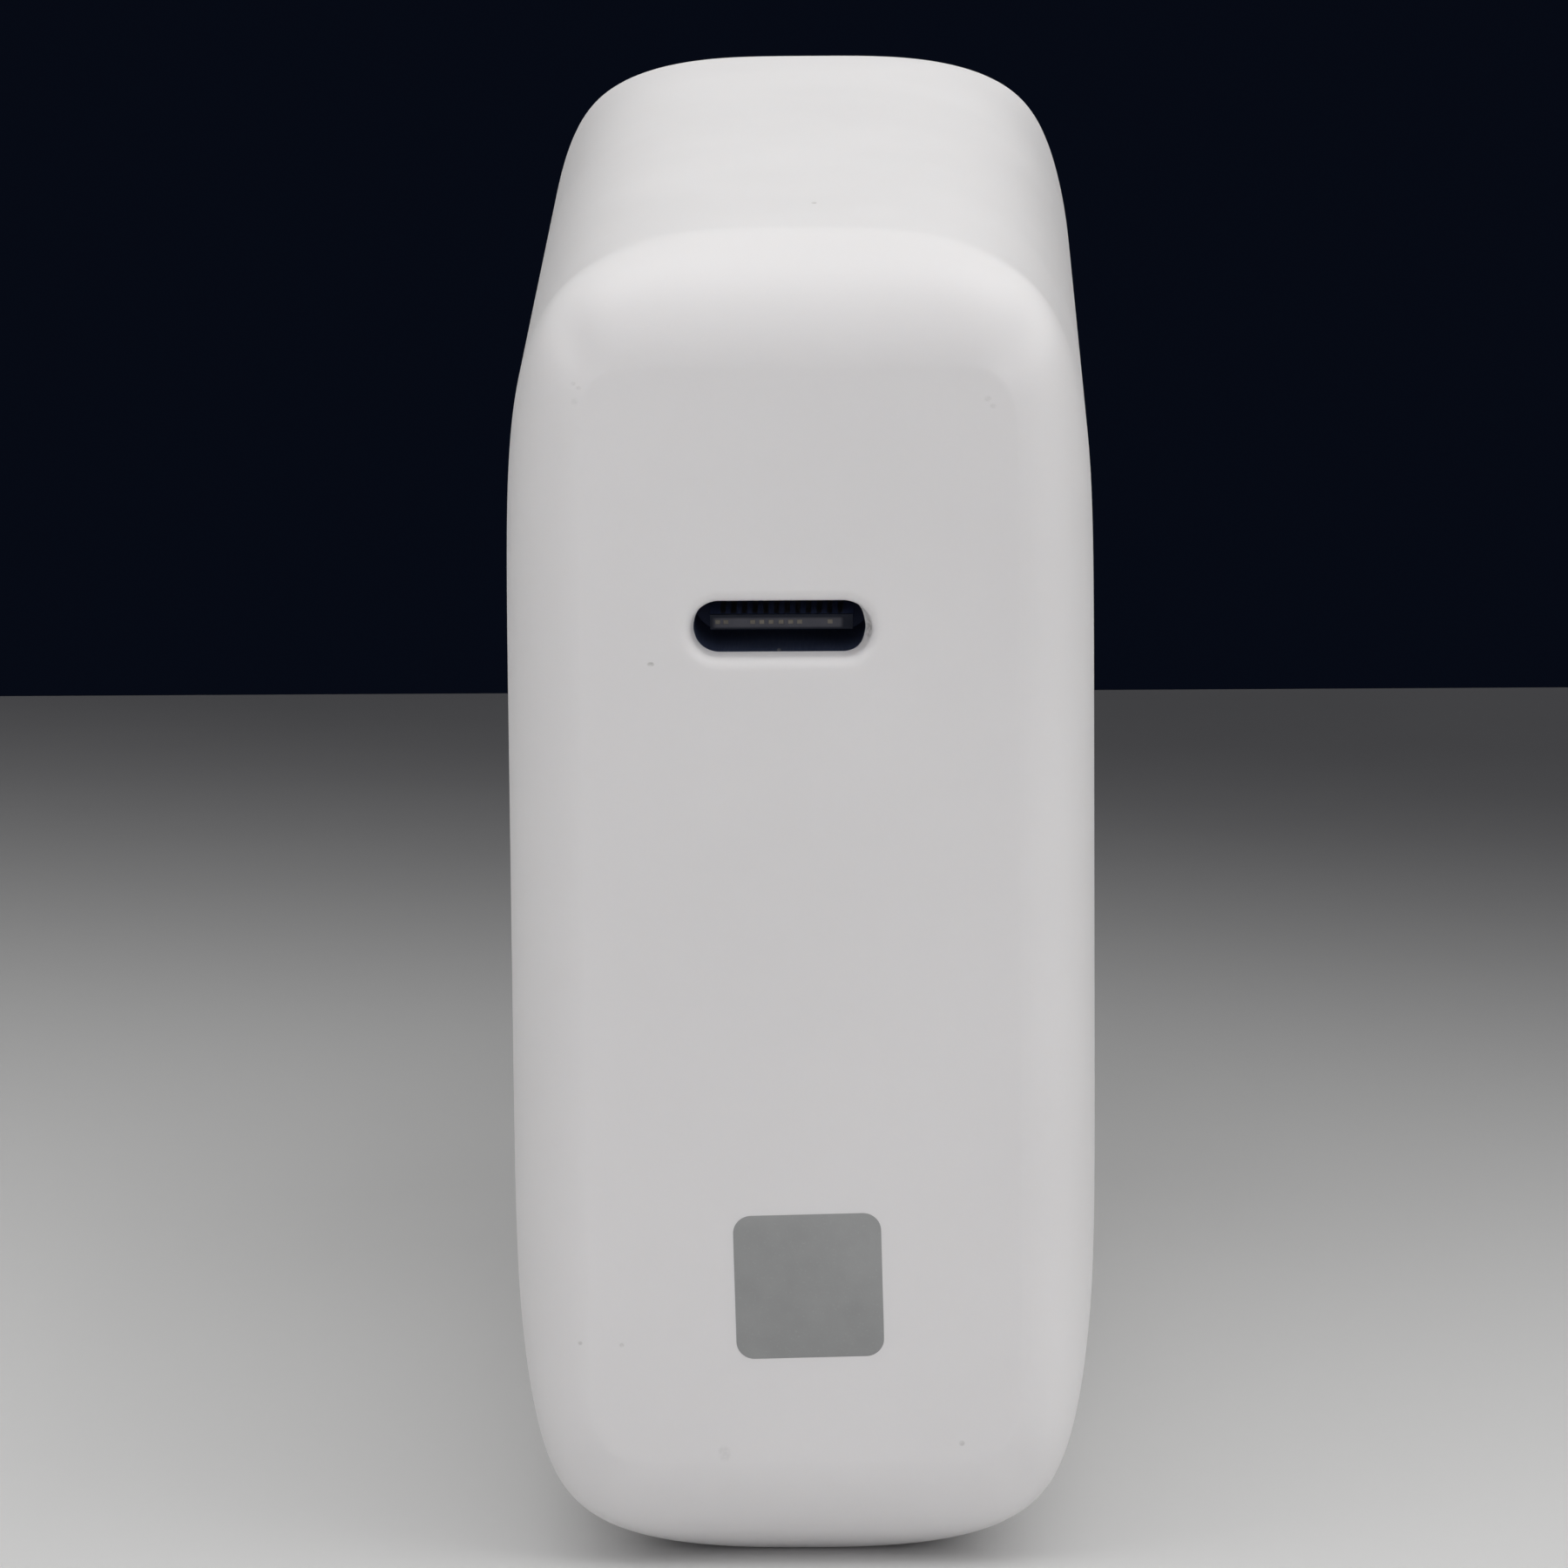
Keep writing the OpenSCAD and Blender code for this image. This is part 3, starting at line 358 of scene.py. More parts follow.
def rounded_square(size, corner):
    """Outline of the patch: a square with round corners, turned a little about its middle."""
    half = size / 2 - corner
    points = []
    for k, (sx, sz) in enumerate(((1, 1), (-1, 1), (-1, -1), (1, -1))):
        for i in range(PATCH_CORNER_STEPS + 1):
            a = (k + i / PATCH_CORNER_STEPS) * QUARTER
            points.append((sx * half + corner * math.cos(a), sz * half + corner * math.sin(a)))
    c, s = math.cos(PATCH_TURN), math.sin(PATCH_TURN)
    return np.array([(x * c - z * s, x * s + z * c) for x, z in points]) + PATCH_MIDDLE


# Rings, as arrays of (x, y, z) points


def at_depth(points, y):
    return np.stack([points[:, 0], np.full(len(points), y), points[:, 1]], 1)


def circle(z, r, y):
    """A ring about a pin's own line."""
    turn = np.linspace(0, 2 * math.pi, TURNED_POINTS, endpoint=False)
    return np.stack([r * np.cos(turn), np.full(TURNED_POINTS, y), z + r * np.sin(turn)], 1)


def flat_rings(inner, outer, shares):
    """Rings that lie in one plane between two others."""
    return [mix(inner, outer, s) for s in shares]


def angles(start, end, steps):
    """Angles of the rings along a rounded stretch, both ends included."""
    return [mix(start, end, k / steps) for k in range(steps + 1)]


def span(middle, width):
    return (middle - width / 2, middle + width / 2)


# Mesh helpers


class Shape:
    """Collects points in millimetres and faces, and makes one object of them."""

    def __init__(self):
        self.points = []
        self.faces = []

    def add(self, points):
        first = len(self.points)
        self.points.extend(tuple(p) for p in points)
        return list(range(first, len(self.points)))

    def bridge(self, low, high):
        count = len(low)
        for i in range(count):
            j = (i + 1) % count
            self.faces.append((low[i], low[j], high[j], high[i]))

    def cap(self, row):
        self.faces.append(tuple(row))

    def loft(self, rings, loop=False):
        rows = [self.add(r) for r in rings]
        for low, high in zip(rows, rows[1:]):
            self.bridge(low, high)
        if loop:
            self.bridge(rows[-1], rows[0])
        return rows

    def closed_loft(self, rings):
        rows = self.loft(rings)
        self.cap(rows[0])
        self.cap(rows[-1])

    def block(self, x, y, z):
        corners = self.add([(a, b, c) for a in x for b in y for c in z])
        sides = ((0, 1, 3, 2), (4, 6, 7, 5), (0, 4, 5, 1), (2, 3, 7, 6), (0, 2, 6, 4), (1, 5, 7, 3))
        for side in sides:
            self.cap([corners[i] for i in side])

    def build(self, name, material):
        mesh = bpy.data.meshes.new(name)
        mesh.from_pydata([(x * MM, y * MM, z * MM) for x, y, z in self.points], [], self.faces)
        mesh.validate()
        work = bmesh.new()
        work.from_mesh(mesh)
        bmesh.ops.recalc_face_normals(work, faces=work.faces)
        work.to_mesh(mesh)
        work.free()
        mesh.shade_smooth()
        mesh.set_sharp_from_angle(angle=SHARP_ANGLE)
        obj = bpy.data.objects.new(name, mesh)
        bpy.context.scene.collection.objects.link(obj)
        obj.data.materials.append(material)
        return obj


def piece(obj, slot, *nodes):
    """Puts a finished piece on the body and hides the CAD nodes that it stands for; its slot is not
    used.
    """
    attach(obj, "root")
    if nodes:
        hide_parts(*nodes)
    return obj


# Materials

# Sockets of a Mix node that take and give colours
MIX_A = 6
MIX_B = 7
MIX_RESULT = 2


class Finish:
    """A material built round one Principled shader, with textures in the object's own place."""

    def __init__(self, name, roughness, metallic=0.0, coat=0.0, coat_roughness=0.1, specular=0.5):
        self.material = bpy.data.materials.new(name)
        self.material.use_nodes = True
        self.tree = self.material.node_tree
        self.shader = self.tree.nodes["Principled BSDF"]
        self.place = self.node("ShaderNodeTexCoord").outputs["Object"]
        self.shader.inputs["Roughness"].default_value = roughness
        self.shader.inputs["Metallic"].default_value = metallic
        self.shader.inputs["Coat Weight"].default_value = coat
        self.shader.inputs["Coat Roughness"].default_value = coat_roughness
        self.shader.inputs["Specular IOR Level"].default_value = specular

    def node(self, kind, **values):
        made = self.tree.nodes.new(kind)
        for key, value in values.items():
            setattr(made, key, value)
        return made

    def link(self, source, target):
        self.tree.links.new(source, target)

    def coordinates(self):
        """The place on the object, split into its X, Y and Z."""
        split = self.node("ShaderNodeSeparateXYZ")
        self.link(self.place, split.inputs["Vector"])
        return [split.outputs[axis] for axis in "XYZ"]

    def noise(self, size_mm, detail=2.0, stretch=(1, 1, 1)):
        """Noise whose features are about size_mm wide; its value lies round 0.5."""
        place = self.place
        if stretch != (1, 1, 1):
            mapping = self.node("ShaderNodeMapping")
            mapping.inputs["Scale"].default_value = stretch
            self.link(place, mapping.inputs["Vector"])
            place = mapping.outputs["Vector"]
        texture = self.node("ShaderNodeTexNoise")
        texture.inputs["Scale"].default_value = 1 / (size_mm * MM)
        texture.inputs["Detail"].default_value = detail
        self.link(place, texture.inputs["Vector"])
        return texture.outputs["Fac"]

    def wave(self, direction, scale, distortion=0.0):
        texture = self.node("ShaderNodeTexWave", bands_direction=direction)
        texture.inputs["Scale"].default_value = scale
        texture.inputs["Distortion"].default_value = distortion
        self.link(self.place, texture.inputs["Vector"])
        return texture.outputs["Fac"]

    def ramp(self, value, low, high, to_low, to_high, smooth=False):
        """Maps a value from one range to another, and stops at its ends."""
        made = self.node("ShaderNodeMapRange")
        if smooth:
            made.interpolation_type = "SMOOTHSTEP"
        made.inputs["From Min"].default_value = low
        made.inputs["From Max"].default_value = high
        made.inputs["To Min"].default_value = to_low
        made.inputs["To Max"].default_value = to_high
        self.link(value, made.inputs["Value"])
        return made.outputs["Result"]

    def combine(self, how, a, b):
        """Joins two values, each a number or another node's output, by a Math node."""
        made = self.node("ShaderNodeMath", operation=how)
        for slot, value in enumerate((a, b)):
            if isinstance(value, (int, float)):
                made.inputs[slot].default_value = value
            else:
                self.link(value, made.inputs[slot])
        return made.outputs[0]

    def colours(self, factor, first, second):
        """Mixes two colours, each a tuple or another node's output."""
        made = self.node("ShaderNodeMix", data_type="RGBA")
        self.link(factor, made.inputs["Factor"])
        for slot, value in ((MIX_A, first), (MIX_B, second)):
            if isinstance(value, tuple):
                made.inputs[slot].default_value = (*value, 1.0)
            else:
                self.link(value, made.inputs[slot])
        return made.outputs[MIX_RESULT]

    def clouds(self, noise, first, second, low=0.35, high=0.65):
        """Passes from one colour to another as a noise rises from low to high."""
        return self.colours(self.ramp(noise, low, high, 0, 1), first, second)

    def gloss(self, noise, low, high):
        """Roughness that runs from low to high with a noise."""
        return self.ramp(noise, 0.3, 0.7, low, high)

    def bump(self, height, strength, distance_mm, after=None):
        made = self.node("ShaderNodeBump")
        made.inputs["Strength"].default_value = strength
        made.inputs["Distance"].default_value = distance_mm * MM
        self.link(height, made.inputs["Height"])
        if after is not None:
            self.link(after, made.inputs["Normal"])
        return made.outputs["Normal"]

    def band(self, value, centre, width, soft):
        """1 where a coordinate lies in a band, fading to 0 over a soft border; in millimetres."""
        offset = self.combine("ABSOLUTE", self.combine("SUBTRACT", value, centre * MM), 0)
        inner, outer = width / 2 - soft, width / 2 + soft
        return self.ramp(offset, inner * MM, outer * MM, 1, 0, smooth=True)

    def spot(self, centre, radii):
        """1 in the inner half of a small ellipsoid on the object, fading to 0 at its edge."""
        shift = self.node("ShaderNodeVectorMath", operation="SUBTRACT")
        shift.inputs[1].default_value = tuple(c * MM for c in centre)
        self.link(self.place, shift.inputs[0])
        scale = self.node("ShaderNodeVectorMath", operation="DIVIDE")
        scale.inputs[1].default_value = tuple(r * MM for r in radii)
        self.link(shift.outputs["Vector"], scale.inputs[0])
        length = self.node("ShaderNodeVectorMath", operation="LENGTH")
        self.link(scale.outputs["Vector"], length.inputs[0])
        return self.ramp(length.outputs["Value"], 0.5, 1, 1, 0, smooth=True)

    def done(self, colour, roughness, normal):
        """Links the three textures to the shader and gives the finished material."""
        self.link(colour, self.shader.inputs["Base Color"])
        self.link(roughness, self.shader.inputs["Roughness"])
        self.link(normal, self.shader.inputs["Normal"])
        return self.material


# Small dark spots on the white plastic, and one of painted shade: place, radii, how strong. All lie on
# or near the port face, but for one speck on the top. The last is painted shade at the right end of the
# port.
SPOTS_AND_SHADE = (
    ((-10.42, FRONT_Y + 0.3, 57.55), (0.16, 1.0, 0.12), 0.14),
    ((-10.16, FRONT_Y + 0.3, 57.35), (0.16, 1.0, 0.12), 0.14),
    ((-10.34, FRONT_Y + 0.4, 56.7), (0.24, 0.9, 0.26), 0.09),
    ((8.85, FRONT_Y + 0.1, 56.75), (0.2, 0.6, 0.17), 0.16),
    ((9.08, FRONT_Y + 0.1, 56.4), (0.18, 0.6, 0.15), 0.16),
    ((-6.95, FRONT_Y, 44.25), (0.2, 0.4, 0.13), 0.55),
    ((-3.87, FRONT_Y, 5.95), (0.36, 1.0, 0.52), 0.13),
    ((-10.65, FRONT_Y + 0.4, 11.4), (0.14, 1.0, 0.14), 0.3),
    ((-8.68, FRONT_Y, 11.3), (0.14, 0.5, 0.14), 0.3),
    ((7.42, FRONT_Y, 6.4), (0.17, 0.6, 0.17), 0.3),
    ((0.72, FRONT_Y + 12.5, TOP_Z), (0.16, 0.4, 0.5), 0.5),
    # painted shade at the right end of the port
    ((3.46, FRONT_Y + 0.8, 45.72), (0.5, 0.5, 1.05), 0.62),
)
# Colour of the spots, and of the painted shade
SPOT_AND_SHADE_COLOUR = (0.28, 0.27, 0.25)

# Light fluff in the socket's mouth: place and radii
LINT = ((-0.98, PORT_MOUTH + 0.6, PORT_Z - PORT_H / 2), (0.12, 0.5, 0.1))
LINT_COLOUR = (0.5, 0.5, 0.48)


def spots_and_shade_mask(finish):
    """How strongly the small spots, and the painted shade among them, cover the plastic, broken up by a
    fine noise.
    """
    mask = None
    for centre, radii, strength in SPOTS_AND_SHADE:
        one_spot = finish.combine("MULTIPLY", finish.spot(centre, radii), strength)
        mask = one_spot if mask is None else finish.combine("MAXIMUM", mask, one_spot)
    ragged = finish.noise(0.25, detail=3.0)
    return finish.combine("MULTIPLY", mask, finish.ramp(ragged, 0.38, 0.6, 0.25, 1.0))


def white_plastic():
    """Moulded housing plastic: a very fine grain, uneven gloss, a few small dark spots, and painted
    shade at the right end of the port.
    """
    finish = Finish("white_plastic", roughness=0.5, specular=0.45)
    shader = finish.shader
    shader.inputs["Subsurface Weight"].default_value = 0.15
    shader.inputs["Subsurface Radius"].default_value = (1.0, 0.9, 0.8)
    shader.inputs["Subsurface Scale"].default_value = 0.8 * MM
    cloud = finish.noise(14, detail=3.0)
    pale = finish.clouds(cloud, (0.805, 0.792, 0.795), (0.825, 0.812, 0.815))
    spots_and_shade = spots_and_shade_mask(finish)
    colour = finish.colours(spots_and_shade, pale, SPOT_AND_SHADE_COLOUR)
    rubbed_gloss_and_lit_band = finish.gloss(finish.noise(6, detail=4.0), 0.46, 0.54)
    roughness = finish.combine("ADD", rubbed_gloss_and_lit_band, finish.combine("MULTIPLY", spots_and_shade, 0.2))
    return finish.done(colour, roughness, finish.bump(finish.noise(0.16), 0.25, 0.008))


def printed_grey():
    """Grey print, worn unevenly, with pale dots where the plastic's grain shows through."""
    finish = Finish("printed_grey", roughness=0.5)
    dots = finish.noise(0.12)
    worn = finish.noise(1.4, detail=3.0)
    even = finish.clouds(worn, (0.300, 0.305, 0.305), (0.330, 0.335, 0.335), 0.3, 0.7)
    colour = finish.colours(finish.ramp(dots, 0.6, 0.75, 0, 0.35), even, (0.42, 0.42, 0.42))
    return finish.done(colour, finish.gloss(worn, 0.46, 0.56), finish.bump(dots, 0.25, 0.006))


def metal(name, colour, worn_colour, roughness, brush=(1, 1, 1), grain_mm=0.3):
    """Bare or plated metal with fine lines along the direction in which it was drawn or turned."""
    finish = Finish(name, roughness=roughness, metallic=1.0)
    lines = finish.noise(grain_mm, detail=4.0, stretch=brush)
    dull = finish.noise(2.2, detail=4.0)
    broad = finish.gloss(dull, roughness - 0.05, roughness + 0.08)
    uneven = finish.combine("ADD", broad, finish.gloss(lines, -0.03, 0.05))
    tint = finish.clouds(dull, colour, worn_colour, 0.42, 0.7)
    return finish.done(tint, uneven, finish.bump(lines, 0.15, 0.01))


def plastic(name, colour, second, roughness, grain_mm=0.2, bump=0.2, cloud_mm=4.0, coat=0.0):
    """Moulded, coated or sintered stuff: two close colours, a fine grain and uneven gloss."""
    finish = Finish(name, roughness=roughness, coat=coat)
    cloud = finish.noise(cloud_mm, detail=3.0)
    grain = finish.noise(grain_mm, detail=3.0)
    uneven = finish.gloss(cloud, roughness - 0.05, roughness + 0.06)
    return finish.done(finish.clouds(cloud, colour, second), uneven, finish.bump(grain, bump, 0.01))


def socket_steel():
    """Dark plated metal inside the socket, dull enough to hold some of the light that falls in, and
    tinted blue by a painted haze of light.
    """
    finish = Finish("dark_steel", roughness=0.5, metallic=0.6)
    dull = finish.noise(2.2, detail=4.0)
    lines = finish.noise(0.1, detail=4.0, stretch=(1, 0.06, 1))
    # the blue tint is a painted haze of light in the port, laid over the dark metal
    plating_and_haze = finish.clouds(dull, (0.110, 0.140, 0.240), (0.085, 0.110, 0.195), 0.42, 0.7)
    lint = finish.combine("MULTIPLY", finish.spot(*LINT), 0.6)
    colour = finish.colours(lint, plating_and_haze, LINT_COLOUR)
    return finish.done(colour, finish.gloss(lines, 0.45, 0.6), finish.bump(lines, 0.15, 0.01))


def tongue_plastic():
    """Dark moulding, tinted blue by a painted haze of light, with painted shade at the tip and a paler
    band of painted light along it.
    """
    finish = Finish("tongue_black", roughness=0.5, specular=0.15)
    x, y, z = finish.coordinates()
    cloud = finish.noise(1.0, detail=3.0)
    # the blue tint of the deeper tongue is a painted haze of light in the port
    deep = finish.clouds(cloud, (0.085, 0.105, 0.190), (0.100, 0.122, 0.215))
    start, end = ((TONGUE_TIP + depth) * MM for depth in TIP_FADE)
    # painted shade: the tip's face and edges are darkened
    dark = finish.colours(finish.ramp(y, start, end, 0, 1), (0.012, 0.015, 0.026), deep)
    along = finish.band(x, TIP_BAND_X, TIP_BAND_W, TIP_BAND_SOFT_W)
    across = finish.band(z, TIP_BAND_Z, TIP_BAND_T, TIP_BAND_SOFT_T)
    # painted light: a paler band across the tip's face
    rubbed_gloss_and_lit_band = finish.clouds(cloud, (0.080, 0.081, 0.097), (0.092, 0.093, 0.110))
    colour = finish.colours(finish.combine("MULTIPLY", along, across), dark, rubbed_gloss_and_lit_band)
    grain = finish.noise(0.08, detail=3.0)
    return finish.done(colour, finish.gloss(cloud, 0.46, 0.56), finish.bump(grain, 0.2, 0.01))


def board_green():
    """Solder mask over glass cloth: a woven grain, and darker and lighter copper areas under it."""
    finish = Finish("board_green", roughness=0.35, coat=0.3, coat_roughness=0.2)
    copper = finish.ramp(finish.noise(5, detail=0.0), 0.49, 0.51, 0, 1)
    colour = finish.colours(copper, (0.012, 0.09, 0.04), (0.03, 0.19, 0.08))
    weave = finish.combine("MULTIPLY", finish.wave("Y", 700), finish.wave("Z", 700))
    relief = finish.bump(copper, 0.5, 0.03, after=finish.bump(weave, 0.1, 0.01))
    return finish.done(colour, finish.ramp(weave, 0, 1, 0.3, 0.42), relief)


def enamelled_wire():
    """Layers of round wire: fine ridges round the coil, with a varnish."""
    finish = Finish("enamelled_wire", roughness=0.3, metallic=0.9, coat=0.5, coat_roughness=0.15)
    ridges = finish.wave("X", 900, distortion=0.6)
    colour = finish.colours(ridges, (0.28, 0.09, 0.03), (0.72, 0.30, 0.12))
    uneven = finish.gloss(finish.noise(1.5), 0.26, 0.36)
    return finish.done(colour, uneven, finish.bump(ridges, 0.6, 0.06))


OWN_FINISHES = {
    "shell_white": white_plastic,
    "printed_grey": printed_grey,
    "port_steel": socket_steel,
    "tongue_black": tongue_plastic,
    "board_green": board_green,
    "copper_wire": enamelled_wire,
}

# By slot: name, colour, worn colour, roughness, how the fine lines are stretched, their width
METALS = {
    "pin_metal": ("nickel_plate", (0.63, 0.62, 0.60), (0.55, 0.54, 0.52), 0.2, (1, 0.05, 1), 0.12),
    "contact_brass": ("spring_brass", (0.72, 0.52, 0.25), (0.58, 0.40, 0.18), 0.28, (1, 1, 0.1)),
    "contact_gold": ("contact_gold", (0.19, 0.175, 0.15), (0.14, 0.13, 0.115), 0.45, (1, 0.1, 1), 0.08),
    "tin": ("tin_plate", (0.72, 0.70, 0.66), (0.60, 0.59, 0.56), 0.32, (1, 1, 1), 0.25),
    "can_bare": ("can_aluminium", (0.74, 0.74, 0.75), (0.62, 0.62, 0.63), 0.3, (1, 1, 0.06)),
    "plate_alu": ("sheet_aluminium", (0.72, 0.72, 0.73), (0.60, 0.60, 0.61), 0.34, (1, 0.08, 1)),
    "screw_steel": ("zinc_screw", (0.62, 0.62, 0.60), (0.48, 0.48, 0.47), 0.35),
}

# By slot: name, colour, second colour, roughness, grain's width, grain's depth, clouds' width, coat
PLASTICS = {
    "sleeve_black": ("sleeve_black", (0.012, 0.012, 0.013), (0.02, 0.02, 0.021), 0.38, 0.12),
    "header_black": ("header_black", (0.012, 0.012, 0.012), (0.02, 0.02, 0.02), 0.45),
    "fuse_ceramic": ("fuse_ceramic", (0.62, 0.57, 0.44), (0.68, 0.63, 0.50), 0.55, 0.15),
    "ferrite": ("ferrite", (0.028, 0.028, 0.030), (0.05, 0.05, 0.052), 0.5, 0.12, 0.5, 1.2),
    "choke_green": ("coated_ring", (0.03, 0.13, 0.06), (0.05, 0.18, 0.09), 0.4, 0.4, 0.3),
    "film_yellow": ("film_box", (0.70, 0.42, 0.03), (0.76, 0.48, 0.05), 0.32, 0.3, 0.15),
    "chip_black": ("moulded_epoxy", (0.014, 0.014, 0.015), (0.024, 0.024, 0.025), 0.55, 0.1, 0.4),
    "can_sleeve": ("can_sleeve", (0.012, 0.02, 0.05), (0.02, 0.03, 0.065), 0.25, 0.6, 0.1),
    "disc_blue": ("dipped_disc", (0.02, 0.10, 0.32), (0.03, 0.13, 0.38), 0.3, 0.8, 0.35, 4.0, 0.2),
    "bobbin_black": ("bobbin_black", (0.02, 0.02, 0.021), (0.035, 0.035, 0.036), 0.45, 0.2),
    "tape_yellow": ("winding_tape", (0.75, 0.48, 0.03), (0.80, 0.55, 0.06), 0.28, 0.5, 0.1),
    "pad_grey": ("gap_pad", (0.16, 0.20, 0.28), (0.20, 0.24, 0.32), 0.7, 0.25, 0.6),
    "film_sheet": ("film_sheet", (0.015, 0.015, 0.017), (0.025, 0.025, 0.028), 0.28, 1.5, 0.1),
    "chip_ceramic": ("chip_ceramic", (0.40, 0.31, 0.20), (0.48, 0.38, 0.26), 0.4, 0.1, 0.3, 0.6),
}

materials = {slot: make() for slot, make in OWN_FINISHES.items()}
materials.update({slot: metal(*values) for slot, values in METALS.items()})
materials.update({slot: plastic(*values) for slot, values in PLASTICS.items()})


# Housing


def shell_ring(outline, y):
    return at_depth(spread(outline, PORT_MIDDLE, SHELL_QUARTERS), y)


def hole_ring(grow, y, draft=0.0):
    """The hole's outline, made wider by grow and drawn in by draft at its ends and lower side."""
    outline = dense_slot(PORT_W + 2 * (PORT_GAP + grow), PORT_H + 2 * (PORT_GAP + grow))
    points = spread(outline, PORT_MIDDLE, SHELL_QUARTERS)
    across = (points[:, 0] - PORT_X) / (PORT_W / 2)
    below = np.clip((PORT_Z - points[:, 1]) / (PORT_H / 2), 0, 1)
    points[:, 0] -= draft * np.clip(across, 0, 1) ** PORT_DRAFT_POWER
    points[:, 0] += draft * PORT_DRAFT_LEFT * np.clip(-across, 0, 1) ** PORT_DRAFT_POWER
    points[:, 1] += draft * PORT_DRAFT_LOW * below
    return at_depth(points, y)


def port_rings():
    """From the pocket's floor out through the hole and over its round mouth."""
    rings = [
        hole_ring(POCKET_GROW, CAVITY_FRONT),
        hole_ring(POCKET_GROW, FRONT_Y + PORT_LIP),
        hole_ring(0, FRONT_Y + PORT_LIP, PORT_DRAFT),
    ]
    for a in angles(QUARTER, 0, MOUTH_STEPS):
        depth = PORT_ROUND_D * (1 - math.cos(a))
        rings.append(hole_ring(PORT_ROUND_W * (1 - math.sin(a)), FRONT_Y + depth))
    return rings


def front_edge_rings():
    """From the flat port face over its rounded edge to the sides."""
    rings = []
    for a in (QUARTER, CREASE_RING, *angles(QUARTER, 0, EDGE_STEPS)[1:]):
        ring = shell_ring(edge_outline(0, a), 0)
        ring[:, 1] = FRONT_RING_Y - EDGE_D * edge_depth(ring[:, (0, 2)], a)
        rings.append(ring)
    return rings


def seam_lip(make_ring, angle, side):
    """One part's rounded lip at the seam, from its skin inwards; side is its direction along Y."""
    rings = []
    for a in angles(QUARTER / 4, QUARTER, SEAM_STEPS):
        outline = edge_outline(SEAM_ROUND * (1 - math.cos(a)), angle)
        rings.append(make_ring(outline, rear_edge_y(angle) + side * SEAM_ROUND * math.sin(a)))
    return rings


def shell_inside_rings():
    """From the seam along the inner walls and over their rounded edge to the face's back."""
    rings = [shell_ring(edge_outline(WALL, 0, inside=True), rear_edge_y(SHELL_END) + SEAM_ROUND)]
    for a in angles(0, QUARTER, INNER_STEPS):
        y = FRONT_RING_Y - (EDGE_D - FACE_WALL) * math.sin(a)
        rings.append(shell_ring(edge_outline(WALL, a, inside=True), y))
    return rings


def housing_shell():
    """One closed skin: port, flat face, rounded edge, sides, seam, and back along the inside."""
    port, edge, inside = port_rings(), front_edge_rings(), shell_inside_rings()
    side_y = (FRONT_RING_Y + SIDE_HOLD, 0, BACK_RING_Y - SIDE_HOLD)
    rings = port + flat_rings(port[-1], edge[0], FACE_SHARES) + edge
    rings += [shell_ring(edge_outline(0, 0), y) for y in side_y]
    rings += [
        shell_ring(edge_outline(0, a), rear_edge_y(a)) for a in angles(0, SHELL_END, REAR_STEPS)
    ]
    rings += seam_lip(shell_ring, SHELL_END, 1)
    rings += inside + flat_rings(inside[-1], port[0], INNER_SHARES)
    shape = Shape()
    shape.loft(rings, loop=True)
    return piece(shape.build("housing_skin", materials["shell_white"]), "shell_white", "housing_shell")


# Rear cover with the plug's nose


def cover_ring(outline, y):
    return at_depth(spread(outline, BODY_MIDDLE, COVER_QUARTERS), y)


def cover_inside_rings():
    """From the floor of the nose's hollow along the cover's back and over its locating lip."""
    hollow = nose_outline(-NOSE_WALL)
    lip_in = edge_outline(WALL + LIP_GAP + LIP_T, 0, inside=True)
    lip_out = edge_outline(WALL + LIP_GAP, 0, inside=True)
    return [
        cover_ring(hollow, NOSE_FACE - NOSE_WALL),
        cover_ring(hollow, COVER_INNER),
        cover_ring(lip_in, COVER_INNER),
        cover_ring(lip_in, SEAM_Y - LIP_L),
        cover_ring(lip_out, SEAM_Y - LIP_L),
        cover_ring(lip_out, rear_edge_y(COVER_START) - SEAM_ROUND),
    ]


def nose_rings():
    """From the nose's soft foot over its sides to the rim of its face."""
    side_y = (BACK_Y + NOSE_FOOT_ROUND + SIDE_HOLD, NOSE_FACE - NOSE_EDGE - TIP_HOLD)
    rings = []
    for a in angles(0, QUARTER, NOSE_FOOT_STEPS):
        y = BACK_Y + NOSE_FOOT_ROUND * (1 - math.cos(a))
        rings.append(cover_ring(nose_outline(NOSE_FOOT_ROUND * (1 - math.sin(a))), y))
    rings += [cover_ring(nose_outline(0), y) for y in side_y]
    for a in angles(0, QUARTER, NOSE_EDGE_STEPS):
        y = NOSE_FACE - NOSE_EDGE * (1 - math.sin(a))
        rings.append(cover_ring(nose_outline(NOSE_EDGE * (math.cos(a) - 1)), y))
    rings.append(cover_ring(nose_outline(-NOSE_EDGE - NOSE_RIM), NOSE_FACE))
    return rings


def close_nose(shape, rim, rim_row):
    """The nose's face, with the two holes that the pins come out of."""
    radius = SLEEVE_D / 2 + PIN_HOLE_GAP
    loops, rows = [rim], [rim_row]
    for z in PIN_Z.values():
        mouth = [circle(z, radius + wider, NOSE_FACE - deep) for wider, deep in PIN_HOLE_MOUTH]
        hole = shape.loft([*mouth, circle(z, radius, SLEEVE_START)])
        shape.cap(hole[-1])
        loops.append(mouth[0][::-1])
        rows.append(hole[0][::-1])
    index = [i for row in rows for i in row]
    flat = [[Vector((x, z, 0)) for x, _, z in loop] for loop in loops]
    for triangle in tessellate_polygon(flat):
        shape.cap([index[i] for i in triangle])


